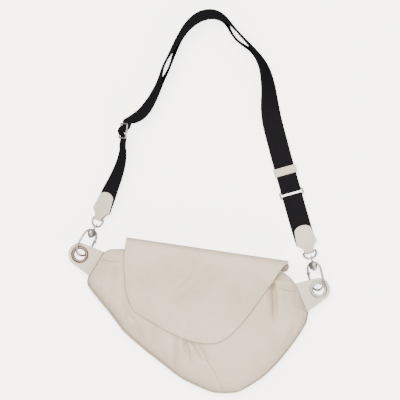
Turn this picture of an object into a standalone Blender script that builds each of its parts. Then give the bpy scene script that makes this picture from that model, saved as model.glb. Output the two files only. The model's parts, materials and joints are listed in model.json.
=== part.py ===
"""Leather belt bag with a webbing shoulder strap, lying on its back.

Metres, +Z up. The fold of the flap runs along X, the strap lies towards +Y.
Everything is laid out from the middle of the line between the two end
eyelets; the last step moves the whole model so that its footprint is centred.
"""
import math

import bmesh
import bpy
from mathutils import Matrix, Vector

# Driving dimensions of the bag body
body_width = 0.340
body_drop = 0.1955
mouth_ahead = 0.018
body_offset = 0.003
seam_height = 0.0120
welt_rise = 0.0015
front_height = 0.0440
mouth_height_share = 0.40
leather = 0.0018
lining = 0.0007
fit = 0.0003
overrun = 0.004
piping_radius = 0.0013

# Yoke, fold and flap
yoke_depth = 0.0160
ear_reach = 0.008
fold_inset = 0.0071
fold_past = 0.0029
fold_slant = 0.005
flap_short = 0.003
fold_height = 0.0355
fold_bend = 0.0105
flap_leather = 0.0014
flap_lining = 0.0010
flap_drop = 0.131
flap_gap = 0.0010
fold_run = 0.045
snap_radius = 0.0070
snap_disc = 0.0010
snap_x = 0.012
snap_y = 0.078
snap_swell = 0.035

# Zip
zip_height = 0.0140
zip_inset = 0.0081
tape_thickness = 0.0010
tape_edge = 0.0026
chain_gap = 0.0006
chain_depth = 0.0017
tooth_depth = 0.0008
tooth_pitch = 0.0050
chain_thickness = 0.0024
stop_length = 0.0020
slider_length = 0.0090
slider_width = 0.0068
slider_plate = 0.0014
slider_post = 0.0016
slider_back = 0.0120
bridge_length = 0.0034
bridge_width = 0.0022
bridge_wall = 0.0008
pull_length = 0.0095
pull_width = 0.0070
pull_wire = 0.0007

# Pocket inside
pocket_width = 0.100
pocket_drop = 0.065
pocket_below = 0.036
pocket_cloth = 0.0008

# End tabs and eyelets
tab_reach = 0.0153
tab_radius = 0.0178
tab_leather = 0.0015
eyelet_hole = 0.0083
eyelet_wall = 0.0008
eyelet_flange = 0.0134
eyelet_lip = 0.0010
washer_thickness = 0.0005
curl_radius = 0.0106

# Oval hooks with a spring gate and a swivel
hook_half_width = 0.0126
hook_wire = 0.0017
hook_below = 0.0140
hook_above = 0.0295
hook_lean = math.radians(69)
hook_roll = math.radians(38)
hook_dip = math.radians(0)
boss_radius = 0.0066
boss_thickness = 0.0042
boss_inset = 0.0050
knuckle_radius = 0.0021
knuckle_length = 0.0040
knuckle_place = 0.0144
tongue_radius = 0.0016
tongue_thickness = 0.0013
pin_radius = 0.0007
gate_tip = 0.0008
stem_radius = 0.0012
eye_radius = 0.0033
eye_wire = 0.0010
head_radius = 0.0024
head_thickness = 0.0012

# Strap ends
dring_width = 0.0196
dring_depth = 0.0135
dring_wire = 0.0016
cap_length = 0.0418
cap_half_width = 0.0160
cap_neck_half = 0.0068
cap_leather = 0.0015
left_cap_turn = math.radians(77)
right_cap_turn = math.radians(115.5)
left_cap_bank = math.radians(34)
web_start = 0.0135
web_shift = 0.0010

# Webbing and its fittings
web_width = 0.0315
web_thickness = 0.0014
strap_rise = 0.3820
ply_gap = 0.0004
adjuster_length = 0.0245
adjuster_width = 0.0382
adjuster_wire = 0.00125
ring_length = 0.0116
ring_width = 0.0382
ring_wire = 0.00135
keeper_back = 0.0318
keeper_length = 0.0120
keeper_leather = 0.0014
floor_gap = 0.0003
hold_blend = 0.0080
hold_reach = 0.0170
hold_shift = 0.0025
station_pitch = 0.0075

# Outline of the body as shares of its width and drop, from the mouth's middle
left_shoulder_shares = ((-0.368, 0.0), (-0.398, -0.009), (-0.424, -0.018), (-0.448, -0.045))
low_edge_shares = (
    (-0.497, -0.250), (-0.499, -0.290), (-0.490, -0.325), (-0.454, -0.386), (-0.393, -0.482),
    (-0.353, -0.548), (-0.308, -0.628), (-0.202, -0.748), (-0.110, -0.838), (-0.027, -0.922),
    (0.053, -0.968), (0.126, -1.0), (0.178, -0.996), (0.240, -0.971), (0.298, -0.895),
    (0.344, -0.822), (0.398, -0.697), (0.440, -0.574), (0.476, -0.454), (0.496, -0.367),
    (0.500, -0.284),
)
right_shoulder_shares = ((0.429, -0.074), (0.406, -0.039), (0.390, -0.020), (0.368, 0.0))

# Edges of the flap as shares of its width and drop, from its top left corner
flap_left_shares = ((0.0, 0.0), (0.007, -0.20), (0.040, -0.49), (0.070, -0.63), (0.115, -0.75))
flap_low_shares = (
    (0.115, -0.75), (0.212, -0.825), (0.300, -0.895), (0.385, -0.95), (0.470, -0.985),
    (0.550, -1.0), (0.610, -0.990), (0.672, -0.955), (0.728, -0.870),
)
flap_right_shares = ((0.728, -0.870), (0.790, -0.715), (0.848, -0.535), (0.898, -0.360),
                     (0.935, -0.245), (0.982, -0.065), (1.0, 0.0))

# The strap's route as shares of the hook span and of the rise, with its bank in
# degrees (0 lies flat, 90 stands on edge) and how far the two plies spread
route_shares = (
    (-0.411, 0.285, 49, 0.0), (-0.400, 0.333, 56, 0.0), (-0.394, 0.375, 63, 0.0),
    (-0.396, 0.417, 72, 0.0), (-0.404, 0.449, 74, 0.0), (-0.406, 0.485, 72, 0.0),
    (-0.398, 0.517, 70, 0.0), (-0.375, 0.536, 64, 0.0), (-0.342, 0.559, 58, 0.0),
    (-0.320, 0.593, 60, 0.0), (-0.304, 0.628, 66, 0.0), (-0.291, 0.664, 70, 0.0),
    (-0.281, 0.699, 75, 0.1), (-0.273, 0.729, 82, 0.6), (-0.264, 0.768, 84, 0.95),
    (-0.253, 0.803, 84, 0.6), (-0.241, 0.843, 77, 0.3), (-0.231, 0.876, 74, 0.0),
    (-0.212, 0.919, 71, 0.0), (-0.186, 0.957, 63, 0.0), (-0.154, 0.986, 58, 0.0),
    (-0.112, 1.002, 57, 0.0), (-0.077, 1.000, 62, 0.0), (-0.049, 0.988, 72, 0.0),
    (-0.028, 0.971, 82, 0.25), (-0.007, 0.948, 83, 0.75), (0.017, 0.926, 83, 0.95),
    (0.046, 0.907, 82, 0.75), (0.079, 0.889, 80, 0.25), (0.113, 0.861, 73, 0.0),
    (0.144, 0.824, 63, 0.0), (0.165, 0.779, 56, 0.1), (0.182, 0.726, 46, 0.1),
    (0.194, 0.672, 31, 0.1), (0.214, 0.611, 12, 0.0), (0.247, 0.536, 4, 0.0),
    (0.290, 0.442, 0, 0.0), (0.341, 0.334, 0, 0.0),
)
adjuster_index = 8
leave_bank = 42
ply_spread = 0.0090

# The plies' course through the adjuster: shares of the way from the middle bar
# to an end bar, of the ply's height under and over the bars, and of one ply more
first_pass_shares = (
    (-1.5, -1.0, 0.0, 0.0), (-1.0, -1.0, 0.0, 0.0), (-0.775, -0.93, 0.0, 0.0),
    (-0.3, 0.0, 0.82, 0.0), (0.0, 0.0, 1.0, 0.0), (0.3, 0.0, 0.82, 0.0),
    (0.775, -0.93, 0.0, 0.0), (1.0, -1.0, 0.0, 0.0), (1.25, -0.90, 0.0, 0.0),
)
return_pass_shares = (
    (1.25, -1.0, 0.0, -2.04), (1.0, -1.0, 0.0, -2.08), (0.725, -1.0, 0.0, -1.90),
    (0.45, -1.0, 0.0, -1.30),
)
tail_pass_shares = (
    (0.31, 0.0, 0.07, 0.0), (0.475, -0.62, 0.0, 0.0), (0.66, -1.0, 0.0, -0.62),
    (1.0, -1.0, 0.0, -1.02), (1.25, -1.0, 0.0, -1.0),
)

# Edge of a strap end as shares of its half width and length, from neck to dome
cap_edge_shares = ((0.53, 0.107), (0.63, 0.18), (0.78, 0.235), (0.93, 0.275), (0.99, 0.30),
                   (1.0, 0.34), (0.83, 0.80))

ring_shares = (0.98, 0.94, 0.87, 0.77, 0.63, 0.45, 0.25, 0.0)
dome_power = 3.0
dome_root = 0.5
back_power = 6.0
back_flat = 1.05
peak_share = 0.45
steps_round = 28
steps_small = 16
lead_steps = 23

# Sizes that follow from the others
mouth_half = right_shoulder_shares[-1][0] * body_width
fold_left = mouth_half - fold_inset
fold_right = mouth_half + fold_past
flap_width = fold_left + fold_right - flap_short
zip_half = mouth_half - zip_inset
tooth_count = int(2 * zip_half / tooth_pitch)
chain_half = tooth_count * tooth_pitch / 2
slider_rest = body_offset + chain_half - slider_back
eyelet_span = body_width + 2 * tab_reach

colours = {
    "leather": ((0.68, 0.61, 0.55), 0.55, 0.0),
    "leather_edge": ((0.60, 0.55, 0.50), 0.60, 0.0),
    "cloth": ((0.45, 0.42, 0.38), 0.90, 0.0),
    "webbing": ((0.016, 0.016, 0.019), 0.85, 0.0),
    "steel": ((0.62, 0.62, 0.62), 0.25, 1.0),
    "zip_tape": ((0.55, 0.50, 0.45), 0.85, 0.0),
}


def clear_scene():
    for obj in list(bpy.data.objects):
        bpy.data.objects.remove(obj, do_unlink=True)


def new_collection(name):
    collection = bpy.data.collections.new(name)
    bpy.context.scene.collection.children.link(collection)
    return collection


def finish_material(name, finish):
    colour, roughness, metallic = colours[finish]
    material = bpy.data.materials.new(name)
    material.use_nodes = True
    shader = material.node_tree.nodes["Principled BSDF"]
    shader.inputs["Base Color"].default_value = (*colour, 1.0)
    shader.inputs["Roughness"].default_value = roughness
    shader.inputs["Metallic"].default_value = metallic
    return material


def add_object(name, data, finish, collection=None):
    obj = bpy.data.objects.new(name, data)
    (collection or parts).objects.link(obj)
    if finish:
        data.materials.clear()
        data.materials.append(finish_material(name, finish))
    return obj


def from_bmesh(name, bm, finish, collection=None):
    mesh = bpy.data.meshes.new(name)
    bm.to_mesh(mesh)
    bm.free()
    return add_object(name, mesh, finish, collection)


def add_empty(name, place):
    empty = bpy.data.objects.new(name, None)
    empty.matrix_world = place
    parts.objects.link(empty)
    return empty


def carry(obj, empty):
    """Parent an object to an empty and leave it where it is."""
    obj.parent = empty
    obj.matrix_parent_inverse = empty.matrix_world.inverted()


def set_origin(obj, point):
    """Move a world-built object's origin to a point of its joint's axis."""
    obj.data.transform(Matrix.Translation(-Vector(point)))
    obj.location = point


def solidify(obj, thickness, offset=-1.0):
    modifier = obj.modifiers.new("wall", "SOLIDIFY")
    modifier.thickness = thickness
    modifier.offset = offset


def combine(obj, tool, operation):
    """Join, cut or trim an object with a tool, which is kept as a cutter."""
    for holder in list(tool.users_collection):
        holder.objects.unlink(tool)
    cutters.objects.link(tool)
    tool.hide_render = True
    tool.display_type = "WIRE"
    modifier = obj.modifiers.new(operation.lower(), "BOOLEAN")
    modifier.operation = operation
    modifier.solver = "EXACT"
    modifier.object = tool


def as_mesh(obj):
    """Replace a curve object by the welded mesh of its evaluated shape."""
    graph = bpy.context.evaluated_depsgraph_get()
    mesh = bpy.data.meshes.new_from_object(obj.evaluated_get(graph))
    bm = bmesh.new()
    bm.from_mesh(mesh)
    bmesh.ops.remove_doubles(bm, verts=bm.verts, dist=fit / steps_round)
    bmesh.ops.recalc_face_normals(bm, faces=bm.faces)
    bm.to_mesh(mesh)
    bm.free()
    name = obj.name
    holder = obj.users_collection[0]
    place = obj.matrix_world.copy()
    bpy.data.objects.remove(obj, do_unlink=True)
    solid = bpy.data.objects.new(name, mesh)
    holder.objects.link(solid)
    solid.matrix_world = place
    return solid


def smooth(obj):
    if obj.type == "MESH":
        obj.data.shade_smooth()
        obj.data.set_sharp_from_angle(angle=math.radians(40))
    return obj


def flat_outline(name, loops, thickness, place, finish, collection=None):
    """A flat piece from closed outlines, centred on the plane of place."""
    curve = bpy.data.curves.new(name, "CURVE")
    curve.dimensions = "2D"
    curve.fill_mode = "BOTH"
    curve.extrude = thickness / 2
    for loop in loops:
        spline = curve.splines.new("POLY")
        spline.points.add(len(loop) - 1)
        for point, (x, y) in zip(spline.points, loop):
            point.co = (x, y, 0, 1)
        spline.use_cyclic_u = True
    obj = add_object(name, curve, finish, collection)
    obj.matrix_world = place
    return obj


def tube(name, points, radius, closed, finish, sides=2, collection=None):
    """A round wire along a list of points."""
    curve = bpy.data.curves.new(name, "CURVE")
    curve.dimensions = "3D"
    curve.bevel_depth = radius
    curve.bevel_resolution = sides
    curve.use_fill_caps = not closed
    spline = curve.splines.new("POLY")
    spline.points.add(len(points) - 1)
    for point, place in zip(spline.points, points):
        point.co = (*place, 1)
    spline.use_cyclic_u = closed
    return add_object(name, curve, finish, collection)


def cylinder(name, start, end, radius, finish, steps=steps_small, collection=None):
    """A round bar between two points."""
    start, end = Vector(start), Vector(end)
    bm = bmesh.new()
    turn = (end - start).to_track_quat("Z", "Y").to_matrix().to_4x4()
    place = Matrix.Translation((start + end) / 2) @ turn
    bmesh.ops.create_cone(bm, cap_ends=True, segments=steps, radius1=radius, radius2=radius,
                          depth=(end - start).length, matrix=place)
    return from_bmesh(name, bm, finish, collection)


def box(name, low, high, finish, collection=None):
    low, high = Vector(low), Vector(high)
    size = high - low
    bm = bmesh.new()
    bmesh.ops.create_cube(bm, size=1.0)
    bmesh.ops.scale(bm, vec=size, verts=bm.verts)
    bmesh.ops.translate(bm, vec=(low + high) / 2, verts=bm.verts)
    return from_bmesh(name, bm, finish, collection)


def turned(name, profile, finish, place, steps=steps_round):
    """A closed profile of radius and height, turned about the Z axis."""
    bm = bmesh.new()
    verts = [bm.verts.new((radius, 0, height)) for radius, height in profile]
    for first, second in zip(verts, verts[1:] + verts[:1]):
        bm.edges.new((first, second))
    obj = from_bmesh(name, bm, finish)
    screw = obj.modifiers.new("turn", "SCREW")
    screw.steps = steps
    screw.render_steps = steps
    screw.use_merge_vertices = True
    screw.merge_threshold = fit / steps_round
    obj.matrix_world = place
    return obj


def loft(rows, closed=False, capped=False):
    """A surface through rows of points, each row extruded from the last."""
    bm = bmesh.new()
    verts = [bm.verts.new(point) for point in rows[0]]
    pairs = list(zip(verts, verts[1:])) + ([(verts[-1], verts[0])] if closed else [])
    edges = [bm.edges.new(pair) for pair in pairs]
    for row in rows[1:]:
        grown = bmesh.ops.extrude_edge_only(bm, edges=edges)["geom"]
        fresh = {item.co.to_tuple(): item for item in grown if isinstance(item, bmesh.types.BMVert)}
        verts = [fresh[vert.co.to_tuple()] for vert in verts]
        pairs = list(zip(verts, verts[1:])) + ([(verts[-1], verts[0])] if closed else [])
        edges = [bm.edges.get(pair) for pair in pairs]
        for vert, point in zip(verts, row):
            vert.co = point
    if capped:
        bmesh.ops.holes_fill(bm, edges=bm.edges, sides=0)
    bmesh.ops.remove_doubles(bm, verts=bm.verts, dist=fit / steps_round)
    bmesh.ops.recalc_face_normals(bm, faces=bm.faces)
    return bm


def face_towards(bm, direction):
    """Turn an open surface so that most of it faces a direction."""
    bm.normal_update()
    total = sum((face.normal * face.calc_area() for face in bm.faces), Vector())
    if total.dot(Vector(direction)) < 0:
        bmesh.ops.reverse_faces(bm, faces=bm.faces)
    bm.normal_update()


def shift_along_normals(bm, distance):
    bm.normal_update()
    for vert, move in [(vert, vert.normal * distance) for vert in bm.verts]:
        vert.co += move


def spline_points(points, count):
    """Evenly spaced points on a smooth curve through the given ones."""
    points = [Vector(point) for point in points]
    padded = [2 * points[0] - points[1]] + points + [2 * points[-1] - points[-2]]
    dense = []
    fine = 16
    for index in range(1, len(padded) - 2):
        before, start, end, after = padded[index - 1:index + 3]
        for step in range(fine):
            t = step / fine
            dense.append(0.5 * (2 * start + (end - before) * t
                                + (2 * before - 5 * start + 4 * end - after) * t * t
                                + (3 * start - before - 3 * end + after) * t ** 3))
    dense.append(points[-1])
    lengths = [0.0]
    for first, second in zip(dense, dense[1:]):
        lengths.append(lengths[-1] + (second - first).length)
    result = []
    place = 0
    for step in range(count + 1):
        wanted = lengths[-1] * step / count
        while place < len(dense) - 2 and lengths[place + 1] < wanted:
            place += 1
        run = lengths[place + 1] - lengths[place]
        share = (wanted - lengths[place]) / run if run else 0.0
        result.append(dense[place].lerp(dense[place + 1], min(1.0, share)))
    return result


def interpolate(table, value):
    """Read a table of (position, value) pairs with eased steps between them."""
    if value <= table[0][0]:
        return table[0][1]
    for (start, low), (end, high) in zip(table, table[1:]):
        if value <= end:
            share = (value - start) / (end - start)
            return low + (high - low) * share * share * (3 - 2 * share)
    return table[-1][1]


def ease(share):
    return math.sin(math.pi / 2 * max(0.0, min(1.0, share)))


# Body outline
mouth_middle = Vector((body_offset, mouth_ahead))


def body_point(share):
    return mouth_middle + Vector((share[0] * body_width, share[1] * body_drop))


def straight(start, end, count):
    return [start.lerp(end, step / count) for step in range(count + 1)]


shoulder_left = spline_points([body_point(share) for share in left_shoulder_shares], 4)
low_edge = spline_points([body_point(share) for share in low_edge_shares], 28)
shoulder_right = spline_points([body_point(share) for share in right_shoulder_shares], 4)
seam_left = straight(shoulder_left[-1], low_edge[0], 2)
seam_right = straight(low_edge[-1], shoulder_right[0], 2)
shoulder_left[0] = mouth_middle - Vector((mouth_half, 0))
shoulder_right[-1] = mouth_middle + Vector((mouth_half, 0))
outline = shoulder_left + seam_left[1:] + low_edge[1:] + seam_right[1:] + shoulder_right[1:]


def share_at(x, y):
    """How far a point lies from the mouth's middle towards the outline."""
    ray = Vector((x, y)) - mouth_middle
    if ray.length < fit:
        return 0.0
    best = 1.0
    for first, second in zip(outline, outline[1:]):
        start, side = first - mouth_middle, second - first
        cross = ray.x * side.y - ray.y * side.x
        if cross == 0:
            continue
        reach = (start.x * side.y - start.y * side.x) / cross
        along = (start.x * ray.y - start.y * ray.x) / cross
        if reach > 0 and -0.001 <= along <= 1.001:
            best = 1.0 / reach
    return min(1.0, best)


def front_top(share, y):
    """Height of the front panel's outer face."""
    depth_share = (mouth_ahead - y) / body_drop
    swell = mouth_height_share + (1 - mouth_height_share) * ease(depth_share / peak_share)
    crown = max(0.0, 1 - share ** dome_power) ** dome_root
    return seam_height + welt_rise + front_height * crown * swell


def back_under(share, _y):
    """Height of the back panel's outer face, flat over most of its area."""
    crown = min(1.0, back_flat * math.sqrt(max(0.0, 1 - share ** back_power)))
    return (seam_height - welt_rise) * (1 - crown)


def panel(name, side, height, inward, thickness, finish):
    """One half of the pouch, open at the mouth and along the seam."""
    rows = [[(*point, seam_height + side * fit / 2) for point in outline],
            [(*point, seam_height + side * welt_rise) for point in outline]]
    for share in ring_shares:
        row = []
        for point in outline:
            place = mouth_middle + (point - mouth_middle) * share
            row.append((place.x, place.y, height(share, place.y)))
        rows.append(row)
    bm = loft(rows)
    face_towards(bm, (0, 0, side))
    if inward:
        shift_along_normals(bm, -inward)
        for vert in bm.verts:
            vert.co.y = min(vert.co.y, mouth_ahead)
    obj = from_bmesh(name, bm, finish)
    solidify(obj, thickness)
    return smooth(obj)


def build_body():
    behind = leather + fit
    panel("front_panel", 1, front_top, 0, leather, "leather")
    panel("back_panel", -1, back_under, 0, leather, "leather")
    panel("front_lining", 1, front_top, behind, lining, "cloth")
    panel("back_lining", -1, back_under, behind, lining, "cloth")

    offset = piping_radius + fit
    course = []
    for index, point in enumerate(low_edge):
        before = low_edge[max(0, index - 1)]
        after = low_edge[min(len(low_edge) - 1, index + 1)]
        along = (after - before).normalized()
        outward = Vector((along.y, -along.x))
        course.append((*(point + outward * offset), seam_height))
    trim = course[0][1] - piping_radius
    tube("piping", [place for place in course if place[1] < trim or place[0] > 0][:-1],
         piping_radius, False, "leather_edge")

    middle = (mouth_middle.x, mouth_ahead - pocket_below - pocket_drop / 2)
    corner = pocket_drop / 6
    pocket = rounded_rectangle(pocket_width, pocket_drop, corner, steps_small // 4)
    height = leather + lining + 3 * fit + pocket_cloth / 2
    flat_outline("slip_pocket", [pocket], pocket_cloth,
                 Matrix.Translation((*middle, height)), "cloth")


def rounded_rectangle(width, height, radius, steps):
    points = []
    for turn, (side_x, side_y) in enumerate(((1, 1), (-1, 1), (-1, -1), (1, -1))):
        centre = Vector((side_x * (width / 2 - radius), side_y * (height / 2 - radius)))
        for step in range(steps + 1):
            angle = math.pi / 2 * (turn + step / steps)
            points.append(centre + radius * Vector((math.cos(angle), math.sin(angle))))
    return points


# Yoke, fold and flap
yoke_start = mouth_ahead + fit
yoke_end = yoke_start + yoke_depth
fold_face = yoke_end + fit + leather
crest_y = fold_face - fold_bend
flap_stack = flap_lining + fit + flap_leather
hinge_high = Vector((0, crest_y, fold_height - leather + flap_stack + fit))


def build_yoke_and_fold():
    ear = []
    for step in range(steps_small // 2 + 1):
        angle = math.pi * (step / (steps_small // 2) - 0.5)
        ear.append((fold_right + ear_reach * math.cos(angle),
                    yoke_start + yoke_depth / 2 * (1 + math.sin(angle))))
    loop = [(-fold_left, yoke_start)] + ear + [(-fold_left, yoke_end)]
    flat_outline("back_yoke", [loop], leather, Matrix.Translation((0, 0, leather / 2)), "leather")

    wall = [(fold_face, fit), (fold_face, (fold_height - fold_bend) / 2)]
    bend_steps = steps_small // 2
    for step in range(bend_steps + 1):
        angle = math.pi / 2 * step / bend_steps
        wall.append((fold_face - fold_bend * (1 - math.cos(angle)),
                     fold_height - fold_bend * (1 - math.sin(angle))))
    rows = []
    for y, z in wall:
        slant = fold_slant * (y - crest_y) / fold_bend
        right = fold_right + slant
        rows.append([(-fold_left + (fold_left + right) * step / 4, y, z) for step in range(5)])
    bm = loft(rows)
    face_towards(bm, (0, 1, 1))
    fold = from_bmesh("flap_fold", bm, "leather")
    solidify(fold, leather)
    smooth(fold)


def flap_corner(share):
    return Vector((-fold_left + share[0] * flap_width, crest_y - fit + share[1] * flap_drop))


def snap_lift(x, y):
    """Extra room under the flap around the snap."""
    away = Vector((x - snap_x, y + snap_y)).length / snap_swell
    return (2 * snap_disc + 3 * fit) * math.exp(-away * away)


def flap_under(x, y):
    """Height of the flap's inner face."""
    base = front_top(share_at(x, y), min(y, mouth_ahead)) + flap_gap + snap_lift(x, y)
    top = fold_height - leather
    blend = min(1.0, max(0.0, (crest_y - y) / fold_run))
    blend = blend * blend * (3 - 2 * blend)
    return max(base, top + (base - top) * blend)


def flap_surface(columns=16, rows=10):
    """A patch between the four edges of the flap, laid over the front."""
    left = spline_points([flap_corner(share) for share in flap_left_shares], rows)
    right = spline_points([flap_corner(share) for share in reversed(flap_right_shares)], rows)
    low = spline_points([flap_corner(share) for share in flap_low_shares], columns)
    top = straight(left[0], right[0], columns)
    grid = []
    for row in range(rows + 1):
        down = row / rows
        line = []
        for column in range(columns + 1):
            across = column / columns
            place = (left[row] * (1 - across) + right[row] * across
                     + top[column] * (1 - down) + low[column] * down
                     - top[0] * (1 - across) * (1 - down) - top[-1] * across * (1 - down)
                     - low[0] * (1 - across) * down - low[-1] * across * down)
            line.append((place.x, place.y, flap_under(place.x, place.y)))
        grid.append(line)
    bm = loft(grid)
    face_towards(bm, (0, 0, 1))
    return bm


def build_flap():
    inner = from_bmesh("flap_lining", flap_surface(), "cloth")
    solidify(inner, flap_lining, 1.0)
    bm = flap_surface()
    shift_along_normals(bm, flap_lining + fit)
    outer = from_bmesh("flap_leather", bm, "leather")
    solidify(outer, flap_leather, 1.0)

    share = share_at(snap_x, -snap_y)
    top = Vector((snap_x, -snap_y, front_top(share, -snap_y)))
    step = snap_radius
    slope_x = (front_top(share_at(top.x + step, top.y), top.y)
               - front_top(share_at(top.x - step, top.y), top.y)) / (2 * step)
    slope_y = (front_top(share_at(top.x, top.y + step), top.y + step)
               - front_top(share_at(top.x, top.y - step), top.y - step)) / (2 * step)
    normal = Vector((-slope_x, -slope_y, 1)).normalized()
    first = top + normal * 2 * fit
    cylinder("snap_socket", first, first + normal * snap_disc, snap_radius, "steel", steps_round)
    second = first + normal * (snap_disc + fit)
    stud = cylinder("snap_stud", second, second + normal * snap_disc, snap_radius, "steel",
                    steps_round)
    for obj in (inner, outer, stud):
        set_origin(smooth(obj), hinge_high)


# Zip in the mouth
zip_plane = mouth_ahead + fit


def mouth_top(x):
    return front_top(min(1.0, abs(x - body_offset) / (mouth_half)), mouth_ahead)


def mouth_bottom(x):
    return back_under(min(1.0, abs(x - body_offset) / (mouth_half)), mouth_ahead)


def upright(y, thickness):
    """Stand a flat outline of (x, z) up in a plane across Y."""
    return Matrix.Translation((0, y + thickness / 2, 0)) @ Matrix.Rotation(math.pi / 2, 4, "X")


def chain_outline(side):
    """One row of teeth, as a rack whose teeth point at the zip's middle."""
    tip, root = chain_gap, chain_gap + tooth_depth
    back = chain_gap + chain_depth
    start, end = body_offset - chain_half, body_offset + chain_half
    points = []
    for index in range(tooth_count):
        x = start + index * tooth_pitch
        for offset, reach in ((0, root), (0.15, tip), (0.5, tip), (0.65, root)):
            points.append((x + offset * tooth_pitch, zip_height + side * reach))
    points.append((end, zip_height + side * root))
    points += [(end, zip_height + side * back), (start, zip_height + side * back)]
    return points


def build_zip():
    steps = 20
    stations = [body_offset + zip_half * (2 * step / steps - 1) for step in range(steps + 1)]
    front = [(x, zip_height + tape_edge) for x in stations]
    front += [(x, max(zip_height + 2 * tape_edge, mouth_top(x))) for x in reversed(stations)]
    back = [(x, zip_height - tape_edge) for x in stations]
    back += [(x, min(zip_height - 2 * tape_edge, mouth_bottom(x) + leather + fit))
             for x in reversed(stations)]
    for name, loop in (("zip_tape_front", front), ("zip_tape_back", back)):
        flat_outline(name, [loop], tape_thickness, upright(zip_plane, tape_thickness), "zip_tape")

    chain_plane = zip_plane - (chain_thickness - tape_thickness) / 2
    for name, side in (("zip_teeth_front", 1), ("zip_teeth_back", -1)):
        flat_outline(name, [chain_outline(side)], chain_thickness,
                     upright(chain_plane, chain_thickness), "steel")

    chain_end = chain_half + fit
    reach = chain_gap + chain_depth
    for name, low_x, low_z, high_z in (
            ("zip_stop_bottom", -chain_end - stop_length, -reach, reach),
            ("zip_stop_front", chain_end, chain_gap, reach),
            ("zip_stop_back", chain_end, -reach, -chain_gap)):
        box(name, (body_offset + low_x, chain_plane, zip_height + low_z),
            (body_offset + low_x + stop_length, chain_plane + chain_thickness,
             zip_height + high_z), "steel")
    build_slider(chain_plane)


def build_slider(chain_plane):
    """Two plates on a post that runs between the rows of teeth."""
    inner = chain_plane - fit - slider_plate
    outer = chain_plane + chain_thickness + fit
    left, right = slider_rest - slider_length / 2, slider_rest + slider_length / 2
    low, high = zip_height - slider_width / 2, zip_height + slider_width / 2
    corner = slider_width / 3
    plate = rounded_rectangle(slider_length, slider_width, corner, 3)
    loop = [(slider_rest + x, zip_height + z) for x, z in plate]
    slider = as_mesh(flat_outline("zip_slider", [loop], slider_plate,
                                  upright(outer, slider_plate), "steel"))
    under = as_mesh(flat_outline("zip_slider_under", [loop], slider_plate,
                                 upright(inner, slider_plate), None, cutters))
    post = box("zip_slider_post",
               (right - corner - slider_post, inner + slider_plate / 2, zip_height - chain_gap + fit),
               (right - corner, outer + slider_plate / 2, zip_height + chain_gap - fit),
               None, cutters)
    axis_y = outer + slider_plate + pull_wire + fit
    crown = axis_y + pull_wire + fit + bridge_wall
    bridge = box("zip_slider_bridge",
                 (slider_rest - bridge_length / 2, outer + slider_plate / 2,
                  zip_height - bridge_width / 2),
                 (slider_rest + bridge_length / 2, crown, zip_height + bridge_width / 2),
                 None, cutters)
    hole = cylinder("zip_slider_hole", (slider_rest, axis_y, low), (slider_rest, axis_y, high),
                    pull_wire + fit, None, steps_small, cutters)
    for tool in (under, post, bridge):
        combine(slider, tool, "UNION")
    combine(slider, hole, "DIFFERENCE")

    ring = rounded_rectangle(pull_length, pull_width, pull_width / 3, 4)
    reach = slider_rest - pull_length / 2
    pull = tube("zip_pull", [(reach + x, axis_y, zip_height + z) for x, z in ring],
                pull_wire, True, "steel")
    pull = as_mesh(pull)
    set_origin(pull, (slider_rest, axis_y, zip_height))


# End tabs, eyelets and washers
eyelet_place = {-1: Vector((-eyelet_span / 2, 0)), 1: Vector((eyelet_span / 2, 0))}


def tangent_angle(point, centre, radius, side):
    """Where a line from a point touches a circle, as an angle on the circle."""
    away = point - centre
    return math.atan2(away.y, away.x) + side * math.acos(radius / away.length)


def build_tab(side):
    name = "left" if side < 0 else "right"
    seam = seam_left if side < 0 else list(reversed(seam_right))
    along = (seam[-1] - seam[0]).normalized()
    outward = Vector((along.y, -along.x)) * -side * -1
    if outward.x * side < 0:
        outward = -outward
    top, low = seam[0] + outward * fit, seam[-1] + outward * fit
    centre = eyelet_place[side]
    start = tangent_angle(top, centre, tab_radius, -side)
    end = tangent_angle(low, centre, tab_radius, side)
    turn = (end - start) * -side % (2 * math.pi)
    steps = steps_small
    arc = [centre + tab_radius * Vector((math.cos(start - side * turn * step / steps),
                                         math.sin(start - side * turn * step / steps)))
           for step in range(steps + 1)]
    bore = eyelet_hole + eyelet_wall + fit
    hole = [centre + bore * Vector((math.cos(2 * math.pi * step / steps_round),
                                    math.sin(2 * math.pi * step / steps_round)))
            for step in range(steps_round)]
    rise = (tab_leather + fit) / 2
    for layer, height in (("front", rise), ("back", -rise)):
        flat_outline(f"tab_{name}_{layer}", [[top] + arc + [low], hole], tab_leather,
                     Matrix.Translation((0, 0, seam_height + height)), "leather")

    place = Matrix.Translation((*centre, seam_height))
    face = fit / 2 + tab_leather
    under = face + fit + washer_thickness + fit
    barrel = eyelet_hole + eyelet_wall
    turned(f"eyelet_{name}", [
        (eyelet_hole, face + fit + eyelet_lip / 2), (eyelet_hole + eyelet_wall, face + fit + eyelet_lip),
        ((barrel + eyelet_flange) / 2, face + fit + eyelet_lip),
        (eyelet_flange - eyelet_wall / 2, face + fit + eyelet_lip * 0.7),
        (eyelet_flange, face + fit), (barrel, face + fit),
        (barrel, -under), (curl_radius, -under), (curl_radius - eyelet_wall / 2, -under - eyelet_wall),
        (eyelet_hole + eyelet_wall / 2, -under - eyelet_wall), (eyelet_hole, -under - eyelet_wall / 2),
    ], "steel", place)
    turned(f"washer_{name}", [
        (barrel + fit, -face - fit), (eyelet_flange, -face - fit),
        (eyelet_flange, -face - fit - washer_thickness), (barrel + fit, -face - fit - washer_thickness),
    ], "steel", place)


# Hooks: local X is across the hook towards its gate, Y runs to the strap
rim_distance = (eyelet_hole + tab_radius) / 2
strap_axis_y = rim_distance * math.sin(hook_lean)


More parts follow.
